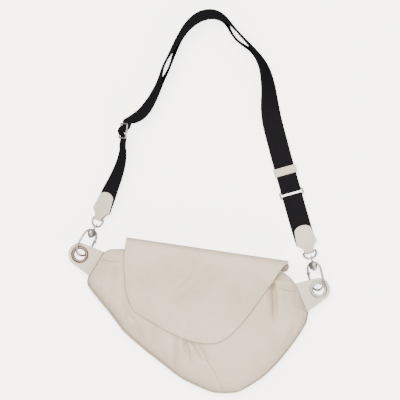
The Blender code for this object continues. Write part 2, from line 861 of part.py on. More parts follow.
def hook_frame(side):
    inner = -side
    lean = Vector((inner * math.cos(hook_lean), math.sin(hook_lean), 0))
    centre = Vector((*eyelet_place[side], seam_height)) + lean * rim_distance
    along = lean * math.cos(hook_dip) - Vector((0, 0, math.sin(hook_dip)))
    across = Vector((inner * math.sin(hook_lean), -math.cos(hook_lean), 0))
    upward = across.cross(along) * inner
    gate_side = across * math.cos(hook_roll) - upward * math.sin(hook_roll)
    normal = gate_side.cross(along)
    frame = Matrix((gate_side, along, normal)).transposed().to_4x4()
    frame.translation = centre
    level = Matrix((across, along, across.cross(along))).transposed().to_4x4()
    level.translation = centre
    return frame, level


def build_hook(side, holder):
    name = "left" if side < 0 else "right"
    frame, level = hook_frame(side)
    low_centre = hook_half_width - hook_below
    top_centre = hook_above - hook_half_width
    half = hook_half_width
    arc_steps = 12
    wire = [(half, low_centre + gate_tip - fit, 0)]
    for step in range(arc_steps + 1):
        angle = -math.pi * step / arc_steps
        wire.append((half * math.cos(angle), low_centre + half * math.sin(angle), 0))
    for step in range(arc_steps + 1):
        angle = math.pi * (1 - step / arc_steps)
        wire.append((half * math.cos(angle), top_centre + half * math.sin(angle), 0))
    wire.append((half, knuckle_place, 0))
    hook = as_mesh(tube(f"hook_{name}", wire, hook_wire, False, "steel"))
    hook.matrix_world = frame

    boss_place = hook_above - boss_inset
    top = knuckle_length / 2
    tools = [
        ("UNION", cylinder(f"hook_{name}_boss", (0, boss_place, -boss_thickness / 2),
                           (0, boss_place, boss_thickness / 2), boss_radius, None, 20, cutters)),
        ("UNION", cylinder(f"hook_{name}_knuckle", (half, knuckle_place, -top),
                           (half, knuckle_place, top), knuckle_radius, None, steps_small, cutters)),
        ("DIFFERENCE", box(f"hook_{name}_slot",
                           (half - overrun, knuckle_place - overrun, -tongue_thickness / 2 - fit),
                           (half + overrun, knuckle_place + tongue_radius + fit,
                            tongue_thickness / 2 + fit), None, cutters)),
        ("DIFFERENCE", cylinder(f"hook_{name}_bore", (0, boss_place - boss_radius - overrun, 0),
                                (0, hook_above + overrun, 0), stem_radius + fit, None,
                                steps_small, cutters)),
        ("DIFFERENCE", cylinder(f"hook_{name}_pin_bore", (half, knuckle_place, -overrun),
                                (half, knuckle_place, overrun), pin_radius + fit, None,
                                steps_small, cutters)),
    ]
    for operation, tool in tools:
        tool.matrix_world = frame
        combine(hook, tool, operation)

    rod_top = knuckle_place - knuckle_radius - 2 * fit
    gate = cylinder(f"gate_{name}", (half, low_centre + gate_tip, 0), (half, rod_top, 0),
                    hook_wire, "steel")
    tongue = box(f"gate_{name}_tongue",
                 (half - tongue_radius * 0.6, rod_top - overrun / 2, -tongue_thickness / 2),
                 (half + tongue_radius * 0.6, knuckle_place, tongue_thickness / 2), None, cutters)
    round_end = cylinder(f"gate_{name}_end", (half, knuckle_place, -tongue_thickness / 2),
                         (half, knuckle_place, tongue_thickness / 2), tongue_radius, None,
                         steps_small, cutters)
    bore = cylinder(f"gate_{name}_bore", (half, knuckle_place, -overrun),
                    (half, knuckle_place, overrun), pin_radius + fit, None, steps_small, cutters)
    gate.matrix_world = frame
    for operation, tool in (("UNION", tongue), ("UNION", round_end), ("DIFFERENCE", bore)):
        tool.matrix_world = frame
        combine(gate, tool, operation)

    pin = cylinder(f"gate_pin_{name}", (half, knuckle_place, -top), (half, knuckle_place, top),
                   pin_radius, "steel")
    pin.matrix_world = frame

    eye_place = hook_above + hook_wire + 2 * fit + eye_radius + eye_wire
    ring = []
    for step in range(steps_small):
        angle = 2 * math.pi * step / steps_small
        ring.append((0, eye_place + eye_radius * math.cos(angle), eye_radius * math.sin(angle)))
    eye = as_mesh(tube(f"swivel_eye_{name}", ring, eye_wire, True, "steel"))
    eye.matrix_world = level
    head_end = boss_place - boss_radius - fit
    stem = cylinder(f"swivel_{name}_stem", (0, head_end - head_thickness / 2, 0),
                    (0, eye_place - eye_radius, 0), stem_radius, None, 12, cutters)
    head = cylinder(f"swivel_{name}_head", (0, head_end - head_thickness, 0), (0, head_end, 0),
                    head_radius, None, steps_small, cutters)
    for tool in (stem, head):
        tool.matrix_world = level
        combine(eye, tool, "UNION")
    for obj in (hook, gate, pin, eye):
        carry(smooth(obj), holder)
    return level @ Vector((0, eye_place, 0))


# Strap ends
cap_height = dring_wire + fit + cap_leather + floor_gap


def cap_frame(side, eye):
    """Local X is across the cap, Y runs from the ring's bar up the strap."""
    turn = left_cap_turn if side < 0 else right_cap_turn
    bank = left_cap_bank if side < 0 else 0
    height = cap_height * math.cos(bank) + cap_half_width * math.sin(bank)
    run = math.sqrt(dring_depth ** 2 - (eye.z - height) ** 2)
    along = Vector((math.cos(turn), math.sin(turn), 0))
    bar = Vector((eye.x, eye.y, height)) + along * run
    level = Vector((math.sin(turn), -math.cos(turn), 0))
    across = level * math.cos(bank) + Vector((0, 0, math.sin(bank)))
    frame = Matrix((across, along, across.cross(along))).transposed().to_4x4()
    frame.translation = bar
    tilted = (bar - eye).normalized()
    across = (across - tilted * across.dot(tilted)).normalized()
    ring_frame = Matrix((across, tilted, across.cross(tilted))).transposed().to_4x4()
    ring_frame.translation = bar
    return frame, ring_frame


def build_strap_end(side, eye, plies, holder):
    name = "left" if side < 0 else "right"
    frame, ring_frame = cap_frame(side, eye)
    half = dring_width / 2
    straight_run = dring_depth - half
    corner = dring_wire
    course = [(-half, -corner, 0), (-half + corner, 0, 0), (half - corner, 0, 0), (half, -corner, 0)]
    arc_steps = 14
    for step in range(arc_steps + 1):
        angle = -math.pi * step / arc_steps
        course.append((half * math.cos(angle), -straight_run + half * math.sin(angle), 0))
    dring = tube(f"dring_{name}", course, dring_wire, True, "steel")
    dring.matrix_world = ring_frame

    inside = (plies * web_thickness + (plies + 1) * fit) / 2
    wrap = dring_wire + fit
    side_points = [(cap_length, inside), (cap_length, inside + cap_leather),
                   (cap_length / 3, inside + cap_leather), (dring_wire, wrap + cap_leather)]
    steps = steps_small // 2
    for step in range(1, steps):
        angle = math.pi / 2 + math.pi * step / steps
        side_points.append(((wrap + cap_leather) * math.cos(angle),
                            (wrap + cap_leather) * math.sin(angle)))
    side_points += [(dring_wire, -wrap - cap_leather), (cap_length / 3, -inside - cap_leather),
                    (cap_length, -inside - cap_leather), (cap_length, -inside),
                    (cap_length / 3, -inside), (dring_wire, -wrap)]
    for step in range(1, steps):
        angle = -math.pi / 2 - math.pi * step / steps
        side_points.append((wrap * math.cos(angle), wrap * math.sin(angle)))
    side_points += [(dring_wire, wrap), (cap_length / 3, inside)]
    rows = [[(x, y, z) for y, z in side_points] for x in (-cap_half_width - overrun,
                                                          cap_half_width + overrun)]
    cap = from_bmesh(f"cap_{name}", loft(rows, closed=True, capped=True), "leather")
    shape = [(cap_neck_half, -wrap - cap_leather - overrun), (cap_neck_half, dring_wire)]
    shape += [(cap_half_width * wide, cap_length * up) for wide, up in cap_edge_shares]
    arc_steps = 10
    dome_wide, dome_up = cap_edge_shares[-1]
    for step in range(1, arc_steps):
        angle = math.pi / 2 * step / arc_steps
        shape.append((cap_half_width * dome_wide * math.cos(angle),
                      cap_length * (dome_up + (1 - dome_up) * math.sin(angle))))
    loop = shape + [(0, cap_length)] + [(-x, y) for x, y in reversed(shape)]
    trim = as_mesh(flat_outline(f"cap_{name}_outline", [loop], 4 * cap_height,
                                Matrix.Identity(4), None, cutters))
    cap.matrix_world = frame
    trim.matrix_world = frame
    combine(cap, trim, "INTERSECT")
    for obj in (dring, cap):
        carry(smooth(obj), holder)
    return frame


# Webbing
class Route:
    """A course on the floor with a bank, read by its length."""

    def __init__(self, stations):
        places = [Vector(station[:2]) for station in stations]
        count = 40 * len(stations)
        self.points = spline_points(places, count)
        self.length = sum((b - a).length for a, b in zip(self.points, self.points[1:]))
        self.step = self.length / count
        self.marks = []
        for place in places:
            nearest = min(range(count + 1), key=lambda i: (self.points[i] - place).length)
            self.marks.append(nearest * self.step)
        self.banks = [(mark, station[2]) for mark, station in zip(self.marks, stations)]
        self.spreads = [(mark, station[3]) for mark, station in zip(self.marks, stations)]
        self.depths = [(0.0, 0.0), (self.length, 0.0)]
        self.held = []

    def level(self, along, offset, depth):
        """Centre, width direction and normal at a length, with a bank on the floor."""
        index = min(len(self.points) - 2, max(1, int(along / self.step)))
        here = self.points[index].lerp(self.points[index + 1], along / self.step - index)
        ahead = (self.points[min(len(self.points) - 1, index + 3)]
                 - self.points[max(0, index - 3)]).normalized()
        bank = math.radians(interpolate(self.banks, along))
        right = Vector((ahead.y, -ahead.x, 0))
        width = right * math.cos(bank) + Vector((0, 0, math.sin(bank)))
        normal = Vector((0, 0, math.cos(bank))) - right * math.sin(bank)
        height = (web_width / 2 * math.sin(bank) + (depth + web_thickness / 2) * math.cos(bank)
                  + floor_gap)
        return Vector((here.x, here.y, height)) + normal * offset, width, normal

    def at(self, along, offset=0.0):
        """The same with the fittings' stretches held straight."""
        centre, width, normal = self.level(along, offset, interpolate(self.depths, along))
        for mark, reach in self.held:
            away = abs(along - mark) - reach
            if away >= hold_blend:
                continue
            share = min(1.0, 1 - away / hold_blend)
            share = share * share * (3 - 2 * share)
            middle, wide, up = self.level(mark, 0.0, interpolate(self.depths, mark))
            straight_place = middle + up.cross(wide) * (along - mark) + up * offset
            centre = centre.lerp(straight_place, share)
            width = width.lerp(wide, share).normalized()
            normal = normal.lerp(up, share).normalized()
        return centre, width, normal


def ribbon(name, stations, finish):
    """A flat band through stations of centre and width direction."""
    rows = []
    last = len(stations) - 1
    for index, (centre, width) in enumerate(stations):
        ahead = stations[min(last, index + 1)][0] - stations[max(0, index - 1)][0]
        across = width - ahead * (width.dot(ahead) / ahead.length_squared)
        across = across.normalized() * web_width / 2
        thick = across.cross(ahead).normalized() * web_thickness / 2
        rows.append([centre + across + thick, centre - across + thick,
                     centre - across - thick, centre + across - thick])
    return from_bmesh(name, loft(rows, closed=True, capped=True), finish)


def wrap_points(centre, radius, start, end, steps):
    """Points of (along, offset) round a bar, from one angle to another."""
    return [(centre + radius * math.cos(start + (end - start) * step / steps),
             radius * math.sin(start + (end - start) * step / steps))
            for step in range(steps + 1)]


def strap_route(left_frame):
    """Stations of the long webbing's course, from inside the left cap."""
    first = left_frame @ Vector((web_shift, web_start, 0))
    mouth = left_frame @ Vector((web_shift, cap_length + fit, 0))
    leave = left_frame @ Vector((web_shift, cap_length + station_pitch, 0))
    span = eyelet_span - 2 * rim_distance * math.cos(hook_lean)
    bank = math.degrees(left_cap_bank)
    stations = [(first.x, first.y, bank, 0), (mouth.x, mouth.y, bank, 0),
                (leave.x, leave.y, leave_bank, 0)]
    for share_x, share_y, bank, spread in route_shares:
        stations.append((share_x * span, strap_axis_y + share_y * strap_rise, bank, spread))
    return Route(stations)


def build_webbing(left_frame, right_frame, holder):
    route = strap_route(left_frame)
    bar = route.marks[adjuster_index]
    end = route.length - ring_length / 2 + ring_wire
    ply = web_thickness + fit
    under = adjuster_wire + fit + web_thickness / 2
    round_bar = under
    over = round_bar + ply
    end_bar = adjuster_length / 2 - adjuster_wire
    doubled_start = bar + adjuster_length
    doubled = end - doubled_start
    ring_wrap = ring_wire + fit + web_thickness / 2

    def half_spread(along):
        wide = interpolate(route.spreads, along) * ply_spread
        near_ring = max(0.0, 1 - (end - along) / ring_length)
        base = (web_thickness + ply_gap) / 2
        return base + wide / 2 + (ring_wrap - base) * near_ring

    steps = int((doubled - ring_length) / station_pitch)
    plain = [doubled_start + station_pitch + (doubled - station_pitch - ring_length / 3)
             * step / steps for step in range(steps + 1)]

    def passing(shares):
        return [(bar + end_bar * along, under * low + over * high + ply * more)
                for along, low, high, more in shares]

    lead = bar - adjuster_length
    course = [(lead * step / lead_steps, 0) for step in range(lead_steps + 1)]
    course += passing(first_pass_shares)
    course.append((doubled_start - station_pitch / 4, half_spread(doubled_start)))
    course += [(along, half_spread(along)) for along in plain]
    course += wrap_points(end, ring_wrap, math.pi / 2, -math.pi / 2, 8)
    course += [(along, -half_spread(along)) for along in reversed(plain)]
    course.append((doubled_start - station_pitch / 4, -half_spread(doubled_start) - ply / 2))
    course += passing(return_pass_shares)
    course += wrap_points(bar, round_bar, -math.pi * 0.36, -math.pi * 1.72, 10)
    course += passing(tail_pass_shares)

    bank = math.radians(route.banks[adjuster_index][1])
    adjuster_depth = (((adjuster_width - web_width) / 2 * math.sin(bank)
                       + adjuster_wire * (1 - math.sin(bank))) / math.cos(bank)
                      - web_thickness / 2)
    keeper_place = end - keeper_back
    keeper_rest = half_spread(keeper_place) + keeper_leather + fit
    end_hold = keeper_back + 2 * keeper_length
    cap_middle = (left_frame @ Vector((web_shift, 0, 0))).z
    cap_depth = ((cap_middle - floor_gap - web_width / 2 * math.sin(left_cap_bank))
                 / math.cos(left_cap_bank) - web_thickness / 2)
    route.depths = [
        (0.0, cap_depth), (route.marks[1], cap_depth), (route.marks[2], cap_depth / 3),
        (route.marks[3], 0.0), (bar - 2 * adjuster_length, 0.0),
        (bar - adjuster_length / 2 - hold_blend, adjuster_depth),
        (bar + adjuster_length / 2, adjuster_depth), (doubled_start, half_spread(doubled_start)),
    ]
    free_end = route.length - 2 * end_hold
    route.depths += [(along, half_spread(along)) for along in plain if along < free_end]
    route.depths += [(route.length - end_hold, keeper_rest), (route.length, keeper_rest)]
    route.held = [(bar - hold_shift, hold_reach), (route.length, end_hold)]
    webbing = ribbon("long_webbing", [route.at(along, offset)[:2] for along, offset in course],
                     "webbing")

    build_adjuster(route, bar, holder)
    ring_frame = build_ring(route, holder)
    short = build_short_webbing(ring_frame, right_frame)
    keeper = build_keeper(route, keeper_place, half_spread(keeper_place))
    for obj in (webbing, short, keeper):
        carry(smooth(obj), holder)


def place_on(route, along):
    centre, width, normal = route.at(along)
    ahead = normal.cross(width)
    frame = Matrix((width, ahead, width.cross(ahead))).transposed().to_4x4()
    frame.translation = centre
    return frame


def build_adjuster(route, bar, holder):
    """Three-bar slider: a closed wire frame with a fixed bar across it."""
    frame = place_on(route, bar)
    width = adjuster_width - 2 * adjuster_wire
    length = adjuster_length - 2 * adjuster_wire
    loop = rounded_rectangle(width, length, adjuster_wire * 2, 3)
    adjuster = as_mesh(tube("adjuster", [(x, y, 0) for x, y in loop], adjuster_wire, True, "steel"))
    cross = cylinder("adjuster_bar", (-width / 2, 0, 0), (width / 2, 0, 0), adjuster_wire, None, 12,
                     cutters)
    adjuster.matrix_world = frame
    cross.matrix_world = frame
    combine(adjuster, cross, "UNION")
    carry(smooth(adjuster), holder)


def build_ring(route, holder):
    frame = place_on(route, route.length)
    loop = rounded_rectangle(ring_width - 2 * ring_wire, ring_length - 2 * ring_wire,
                             ring_wire * 1.1, 3)
    ring = tube("rect_ring", [(x, y, 0) for x, y in loop], ring_wire, True, "steel")
    ring.matrix_world = frame
    carry(ring, holder)
    return frame


def build_short_webbing(ring_frame, right_frame):
    """A loop round the ring's lower bar, both ends inside the right cap."""
    bar = ring_length / 2 - ring_wire
    wrap = ring_wire + fit + web_thickness / 2
    ply = (web_thickness + fit) / 2
    frame_up = Vector((0, 0, 1))

    def side_run(sign):
        start = ring_frame @ Vector((0, bar + ring_wire, 0)) + frame_up * sign * wrap
        leave = ring_frame @ Vector((0, bar + ring_length / 2, 0)) + frame_up * sign * (wrap + ply) / 2
        middle = right_frame @ Matrix.Translation((-web_shift, 0, sign * ply))
        enter = middle @ Vector((0, cap_length + ring_wire, 0))
        held = middle @ Vector((0, cap_length * 0.7, 0))
        last = middle @ Vector((0, web_start, 0))
        return spline_points([start, leave, enter, held, last], 10)

    over = list(reversed(side_run(1)))
    under = side_run(-1)
    turn = []
    for step in range(1, 8):
        angle = math.pi / 2 + math.pi * step / 8
        turn.append(ring_frame @ Vector((0, bar - wrap * -math.cos(angle), 0))
                    + frame_up * wrap * math.sin(angle))
    points = over + turn + under
    stations = []
    for index, point in enumerate(points):
        share = min(1.0, abs(index - len(points) / 2) / (len(points) / 2))
        across = (ring_frame.col[0].to_3d().lerp(-right_frame.col[0].to_3d(), share))
        stations.append((point, across.normalized()))
    return ribbon("short_webbing", stations, "webbing")


def build_keeper(route, along, spread):
    """A sewn leather loop round both plies."""
    frame = place_on(route, along)
    inner_width = web_width + 4 * fit
    inner_height = 2 * spread + web_thickness + 2 * fit
    loops = [rounded_rectangle(inner_width + 2 * keeper_leather, inner_height + 2 * keeper_leather,
                               keeper_leather, 3),
             rounded_rectangle(inner_width, inner_height, fit, 2)]
    keeper = flat_outline("keeper", loops, keeper_length,
                          frame @ Matrix.Rotation(math.pi / 2, 4, "X"), "leather")
    return keeper


def centre_model():
    """Move everything so that the footprint's middle is the origin."""
    bpy.context.view_layer.update()
    graph = bpy.context.evaluated_depsgraph_get()
    corners = []
    for obj in parts.objects:
        if obj.type == "EMPTY":
            continue
        mesh = obj.evaluated_get(graph).to_mesh()
        corners += [obj.matrix_world @ vert.co for vert in mesh.vertices]
        obj.evaluated_get(graph).to_mesh_clear()
    middle = Vector(((min(c.x for c in corners) + max(c.x for c in corners)) / 2,
                     (min(c.y for c in corners) + max(c.y for c in corners)) / 2, 0))
    for obj in bpy.data.objects:
        if obj.parent is None:
            obj.location -= middle
    bpy.context.view_layer.update()


clear_scene()
parts = new_collection("belt_bag")
cutters = new_collection("cutters")

build_body()
build_yoke_and_fold()
build_flap()
build_zip()
strap_axis = add_empty("strap_axis", Matrix.Translation((0, strap_axis_y, seam_height)))
cap_frames = {}
for hook_side in (-1, 1):
    build_tab(hook_side)
    eye_centre = build_hook(hook_side, strap_axis)
    plies_held = 1 if hook_side < 0 else 2
    cap_frames[hook_side] = build_strap_end(hook_side, eye_centre, plies_held, strap_axis)
build_webbing(cap_frames[-1], cap_frames[1], strap_axis)
centre_model()
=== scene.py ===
"""Looks of a leather belt bag with a webbing shoulder strap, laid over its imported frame.

Metres, +Z up. Places on the bag are given from the middle of the line between
the two end eyelets, with the flap's fold along X and the strap towards +Y.
"""

import json
import math

import bmesh
import bpy
import numpy as np
from mathutils import Matrix, Vector, noise
from mathutils.bvhtree import BVHTree

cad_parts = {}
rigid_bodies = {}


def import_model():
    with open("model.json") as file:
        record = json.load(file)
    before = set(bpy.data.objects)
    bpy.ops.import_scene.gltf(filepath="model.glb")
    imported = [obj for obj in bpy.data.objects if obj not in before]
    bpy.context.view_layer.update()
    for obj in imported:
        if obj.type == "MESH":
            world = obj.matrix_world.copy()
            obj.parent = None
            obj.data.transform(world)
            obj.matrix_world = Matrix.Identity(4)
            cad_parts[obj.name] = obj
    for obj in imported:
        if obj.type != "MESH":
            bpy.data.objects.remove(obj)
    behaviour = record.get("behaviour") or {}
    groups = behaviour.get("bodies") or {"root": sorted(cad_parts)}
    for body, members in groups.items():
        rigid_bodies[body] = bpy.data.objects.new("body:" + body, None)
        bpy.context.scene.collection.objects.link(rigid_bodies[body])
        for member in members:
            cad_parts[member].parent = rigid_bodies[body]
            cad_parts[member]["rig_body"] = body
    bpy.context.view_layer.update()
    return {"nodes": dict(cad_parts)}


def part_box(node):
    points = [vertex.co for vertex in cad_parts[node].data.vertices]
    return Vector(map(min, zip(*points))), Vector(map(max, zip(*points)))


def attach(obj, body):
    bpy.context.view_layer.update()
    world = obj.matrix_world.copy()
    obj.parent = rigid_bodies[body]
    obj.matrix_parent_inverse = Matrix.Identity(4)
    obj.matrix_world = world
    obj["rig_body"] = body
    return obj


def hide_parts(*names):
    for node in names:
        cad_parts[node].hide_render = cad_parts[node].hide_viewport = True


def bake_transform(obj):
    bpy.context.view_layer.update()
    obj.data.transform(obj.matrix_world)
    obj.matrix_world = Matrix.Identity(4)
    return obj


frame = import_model()
nodes = frame["nodes"]
mm = 0.001

# Sizes read from the frame
panel_low, panel_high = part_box("front_panel")
fold_low, fold_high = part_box("flap_fold")
flap_low, flap_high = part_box("flap_leather")
left_end_share, right_end_share = 0.499, 0.500
body_width = (panel_high.x - panel_low.x) / (left_end_share + right_end_share)
body_drop = panel_high.y - panel_low.y
mouth = np.array((panel_low.x + left_end_share * body_width, panel_high.y))
seam_z = panel_low.z
welt_rise = 1.5 * mm
front_rise = 44 * mm
mouth_rise_share = 0.40
peak_share = 0.45
hide = 1.8 * mm
flap_wall = 1.4 * mm
lining_cloth = 0.7 * mm
lining_drop = 1.5 * mm
webbing_wall = 1.4 * mm
clear = 0.3 * mm
hair = 0.05 * mm
fold_bend = 10.5 * mm
crest_y = fold_high.y - fold_bend
flap_width = flap_high.x - flap_low.x
flap_drop = flap_high.y - flap_low.y


def box_middle(node):
    """The middle of a node's box."""
    low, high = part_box(node)
    return (low + high) / 2


eyelet_line = (box_middle("eyelet_left") + box_middle("eyelet_right")) / 2
snap_place = box_middle("snap_socket")

# Outline of the body as shares of its width and drop, from the mouth's middle
left_shoulder = ((-0.368, 0.0), (-0.398, -0.009), (-0.424, -0.018), (-0.448, -0.045))
low_edge = (
    (-0.497, -0.250), (-0.499, -0.290), (-0.490, -0.325), (-0.454, -0.386), (-0.393, -0.482),
    (-0.353, -0.548), (-0.308, -0.628), (-0.202, -0.748), (-0.110, -0.838), (-0.027, -0.922),
    (0.053, -0.968), (0.126, -1.0), (0.178, -0.996), (0.240, -0.971), (0.298, -0.895),
    (0.344, -0.822), (0.398, -0.697), (0.440, -0.574), (0.476, -0.454), (0.496, -0.367),
    (0.500, -0.284),
)
right_shoulder = ((0.429, -0.074), (0.406, -0.039), (0.390, -0.020), (0.368, 0.0))

# Edges of the flap as shares of its width and drop, from its top left corner
flap_left = ((0.0, 0.0), (0.007, -0.20), (0.040, -0.49), (0.070, -0.63), (0.115, -0.75))
flap_foot = (
    (0.115, -0.75), (0.212, -0.825), (0.300, -0.895), (0.385, -0.95), (0.470, -0.985),
    (0.550, -1.0), (0.610, -0.990), (0.672, -0.955), (0.728, -0.870),
)
flap_right = ((1.0, 0.0), (0.982, -0.065), (0.935, -0.245), (0.898, -0.360),
              (0.848, -0.535), (0.790, -0.715), (0.728, -0.870))

# Darts, narrow creases and broad folds of the front in millimetres from the eyelets' line:
# course, half width, depth, and the shares over which each end fades
darts = (
    (((-150, -2.8), (-136, -3.2), (-123.8, -1.9)), 1.1, 1.3, 0.02, 0.12),
    (((126.9, -6.1), (139, -7.4), (151, -7.1)), 1.1, 1.3, 0.12, 0.02),
    (((28.8, -126.5), (37.8, -139.4), (44.5, -146.4), (53.7, -160.9), (62.7, -173.2)),
     1.1, 1.4, 0.08, 0.02),
)
creases = (
    (((113.6, 3), (115, -6), (117.3, -13.4), (120.7, -31.2), (123.1, -45.6), (125, -62)),
     3.2, 8.5, 0.08, 0.45),
    (((-6.5, -98), (-5.5, -103), (-1.7, -118.9), (6.4, -140)), 2.2, 6.5, 0.05, 0.4),
    (((4, -100), (6.8, -106.7), (17.7, -117.9), (34, -138)), 3.4, 5.5, 0.1, 0.4),
    (((-134.5, -5), (-129.2, -18.2), (-125, -34)), 2.6, 2.4, 0.3, 0.5),
    (((-97, -80), (-92, -84.5), (-84, -92)), 2.6, 1.8, 0.3, 0.5),
)
folds = (
    (((-136, -2), (-133.5, -6), (-129.2, -18.2), (-124, -42)), 6.0, 2.8, 0.3, 0.5),
    (((-118, -14), (-116.8, -20.1), (-113.5, -32.5), (-107, -52)), 7.0, 3.0, 0.2, 0.5),
    (((112, 6), (117.3, -13.4), (120.7, -31.2), (126, -66)), 5.5, 6.0, 0.15, 0.4),
    (((128, 0), (130, -16), (134, -36)), 6.0, -2.6, 0.3, 0.5),
    (((104, 0), (106, -16), (111, -38)), 6.0, -2.2, 0.3, 0.5),
    (((-8, -92), (-5.5, -103), (-1.7, -118.9), (7, -144)), 4.0, 4.6, 0.05, 0.45),
    (((3, -92), (10, -118), (19, -138)), 4.0, -2.4, 0.1, 0.5),
    (((0, -92), (6.8, -106.7), (17.7, -117.9), (38, -144)), 6.0, 5.6, 0.05, 0.5),
    (((-27, -98), (-24.8, -111.3), (-21.1, -136.5), (-12, -162)), 6.0, 3.0, 0.1, 0.5),
    (((-14, -96), (-12, -116), (-4, -138)), 5.0, -2.0, 0.1, 0.5),
    (((-62, -80), (-58, -98), (-50, -116)), 8.0, 1.8, 0.2, 0.5),
    (((60, -100), (84, -96), (120, -84)), 12.0, 1.8, 0.4, 0.5),
    (((-120, -50), (-104, -78), (-84, -98)), 8.0, 1.6, 0.3, 0.5),
    (((164, -50), (154, -76), (138, -97), (117, -119), (96, -136)), 8.0, 2.6, 0.3, 0.4),
)

# Folds of the flap, in the same way: course, half width and depth; all fade alike
flap_folds = (
    (((62, 31), (26.5, 10.1), (-3, -14.4), (-28.9, -38.4), (-39.6, -65.7), (-40, -92)), 9, 4.8),
    (((-9, 34), (-3.5, 9.4), (-13.5, -17.8), (-41.7, -51.3)), 6, 3.3),
    (((-36, 34), (-50.9, 11.6), (-66.8, -5.4), (-86, -26)), 7, 2.9),
    (((22, -24), (38, -15), (56, -3)), 5, 0.9),
    (((9.6, -52), (14.7, -78)), 5, 0.8),
    (((40, 30), (10, 14), (-16, -8), (-52, -36)), 7, -2.1),
    (((70, 14), (30, -10), (-4, -50)), 13, -2.2),
)

# Courses of the short rows of stitches on the yoke's ear and beside the left dart
ear_course = ((127.2, 30.2), (133.4, 30.4), (135.6, 26.6), (133.6, 22.4), (129.6, 19.4))
side_course = ((-120.2, 15.5), (-121.0, 4), (-121.6, -8.5))

colours_hex = {
    "nappa": "CDC0B0", "nappa_shade": "C6B9A9", "trim": "CCC5BB", "trim_shade": "C5BEB4",
    # The seam tone is painted shade: the dark lines of seam grooves, joins and the flap's edge are
    # drawn in it.
    "edge_paint": "A99D91", "seam_shade": "7E7267", "thread": "E4DCD1", "lining": "A89E92",
    "zip_tape": "CFC6BA", "webbing": "0D0D10", "webbing_high": "1B1B20",
    "nickel": "B0AFAD", "nickel_shade": "9C9B99",
    # The warm nickel tones are painted shade: the left eyelet and washer are the same nickel, drawn
    # darker and warmer.
    "nickel_in_painted_shade": "6F625E", "nickel_in_deeper_painted_shade": "5A4F4C", "paper": "FBFBFB",
}


def linear(name):
    """sRGB hex to the linear colour that the shaders take."""
    text = colours_hex[name]
    channels = [int(text[place:place + 2], 16) / 255 for place in (0, 2, 4)]
    return [c / 12.92 if c <= 0.04045 else ((c + 0.055) / 1.055) ** 2.4 for c in channels] + [1.0]


def add(tree, kind, links=None, stops=(), **settings):
    """One node: its settings by name, its inputs as values or sockets, its colour stops."""
    made = tree.nodes.new(f"ShaderNode{kind}")
    for index, (place, colour) in enumerate(stops):
        elements = made.color_ramp.elements
        element = elements[index] if index < len(elements) else elements.new(place)
        element.position, element.color = place, colour
    for name, value in settings.items():
        setattr(made, name, value)
    for name, value in (links or {}).items():
        if isinstance(value, bpy.types.NodeSocket):
            tree.links.new(value, made.inputs[name])
        else:
            made.inputs[name].default_value = value
    return made


def finish(name, **settings):
    """A material and its tree, with constants set on the Principled shader's own sockets."""
    material = bpy.data.materials.new(name)
    material.use_nodes = True
    tree = material.node_tree
    shader = tree.nodes["Principled BSDF"]
    for socket, value in settings.items():
        shader.inputs[socket.replace("_", " ")].default_value = value
    return material, tree, shader


def soft_leather(name, tone, shade, grain=1.1 * mm, roughness=0.52):
    """Nappa: drum-dyed, lightly milled cowhide. A fine pebble and pores catch a dull, soft sheen."""
    material, tree, shader = finish(name, Roughness=roughness, IOR=1.45, Specular_IOR_Level=0.25)
    place = add(tree, "TexCoord").outputs["Object"]
    cloud = add(tree, "TexNoise", {"Vector": place, "Scale": 1 / (55 * mm), "Detail": 3.0})
    tint = add(tree, "ValToRGB", {"Fac": cloud.outputs["Fac"]},
               [(0.35, linear(shade)), (0.62, linear(tone))])
    tree.links.new(tint.outputs["Color"], shader.inputs["Base Color"])
    bend = add(tree, "TexNoise", {"Vector": place, "Scale": 1 / (6 * mm), "Detail": 2.0})
    shift = add(tree, "MixRGB", {"Fac": 0.0012, "Color1": place, "Color2": bend.outputs["Color"]},
                blend_type="ADD")
    pebble = add(tree, "TexVoronoi", {"Vector": shift.outputs["Color"], "Scale": 1 / grain},
                 feature="SMOOTH_F1")
    pores = add(tree, "TexNoise", {"Vector": place, "Scale": 1 / (0.35 * mm), "Detail": 2.0})
    crease = add(tree, "TexNoise", {"Vector": place, "Scale": 1 / (9 * mm), "Detail": 4.0})
    coarse = add(tree, "Bump", {"Height": crease.outputs["Fac"], "Strength": 0.22,
                                "Distance": 0.6 * mm})
    pebbled = add(tree, "Bump", {"Height": pebble.outputs["Distance"], "Strength": 0.30,
                                 "Distance": 0.12 * mm, "Normal": coarse.outputs["Normal"]},
                  invert=True)
    fine = add(tree, "Bump", {"Height": pores.outputs["Fac"], "Strength": 0.10,
                              "Distance": 0.05 * mm, "Normal": pebbled.outputs["Normal"]})
    tree.links.new(fine.outputs["Normal"], shader.inputs["Normal"])
    return material


def painted_edge(name, dark="edge_paint", light="nappa_shade"):
    """Edge paint on a cut edge: smooth, filled and a little greyer than the hide; in the dark seam
    tone the same finish is painted shade.
    """
    material, tree, shader = finish(name, Roughness=0.42, IOR=1.46)
    place = add(tree, "TexCoord").outputs["Object"]
    cloud = add(tree, "TexNoise", {"Vector": place, "Scale": 1 / (4 * mm), "Detail": 2.0})
    tint = add(tree, "ValToRGB", {"Fac": cloud.outputs["Fac"]},
               [(0.3, linear(dark)), (0.7, linear(light))])
    tree.links.new(tint.outputs["Color"], shader.inputs["Base Color"])
    bump = add(tree, "Bump", {"Height": cloud.outputs["Fac"], "Strength": 0.15,
                              "Distance": 0.1 * mm})
    tree.links.new(bump.outputs["Normal"], shader.inputs["Normal"])
    return material


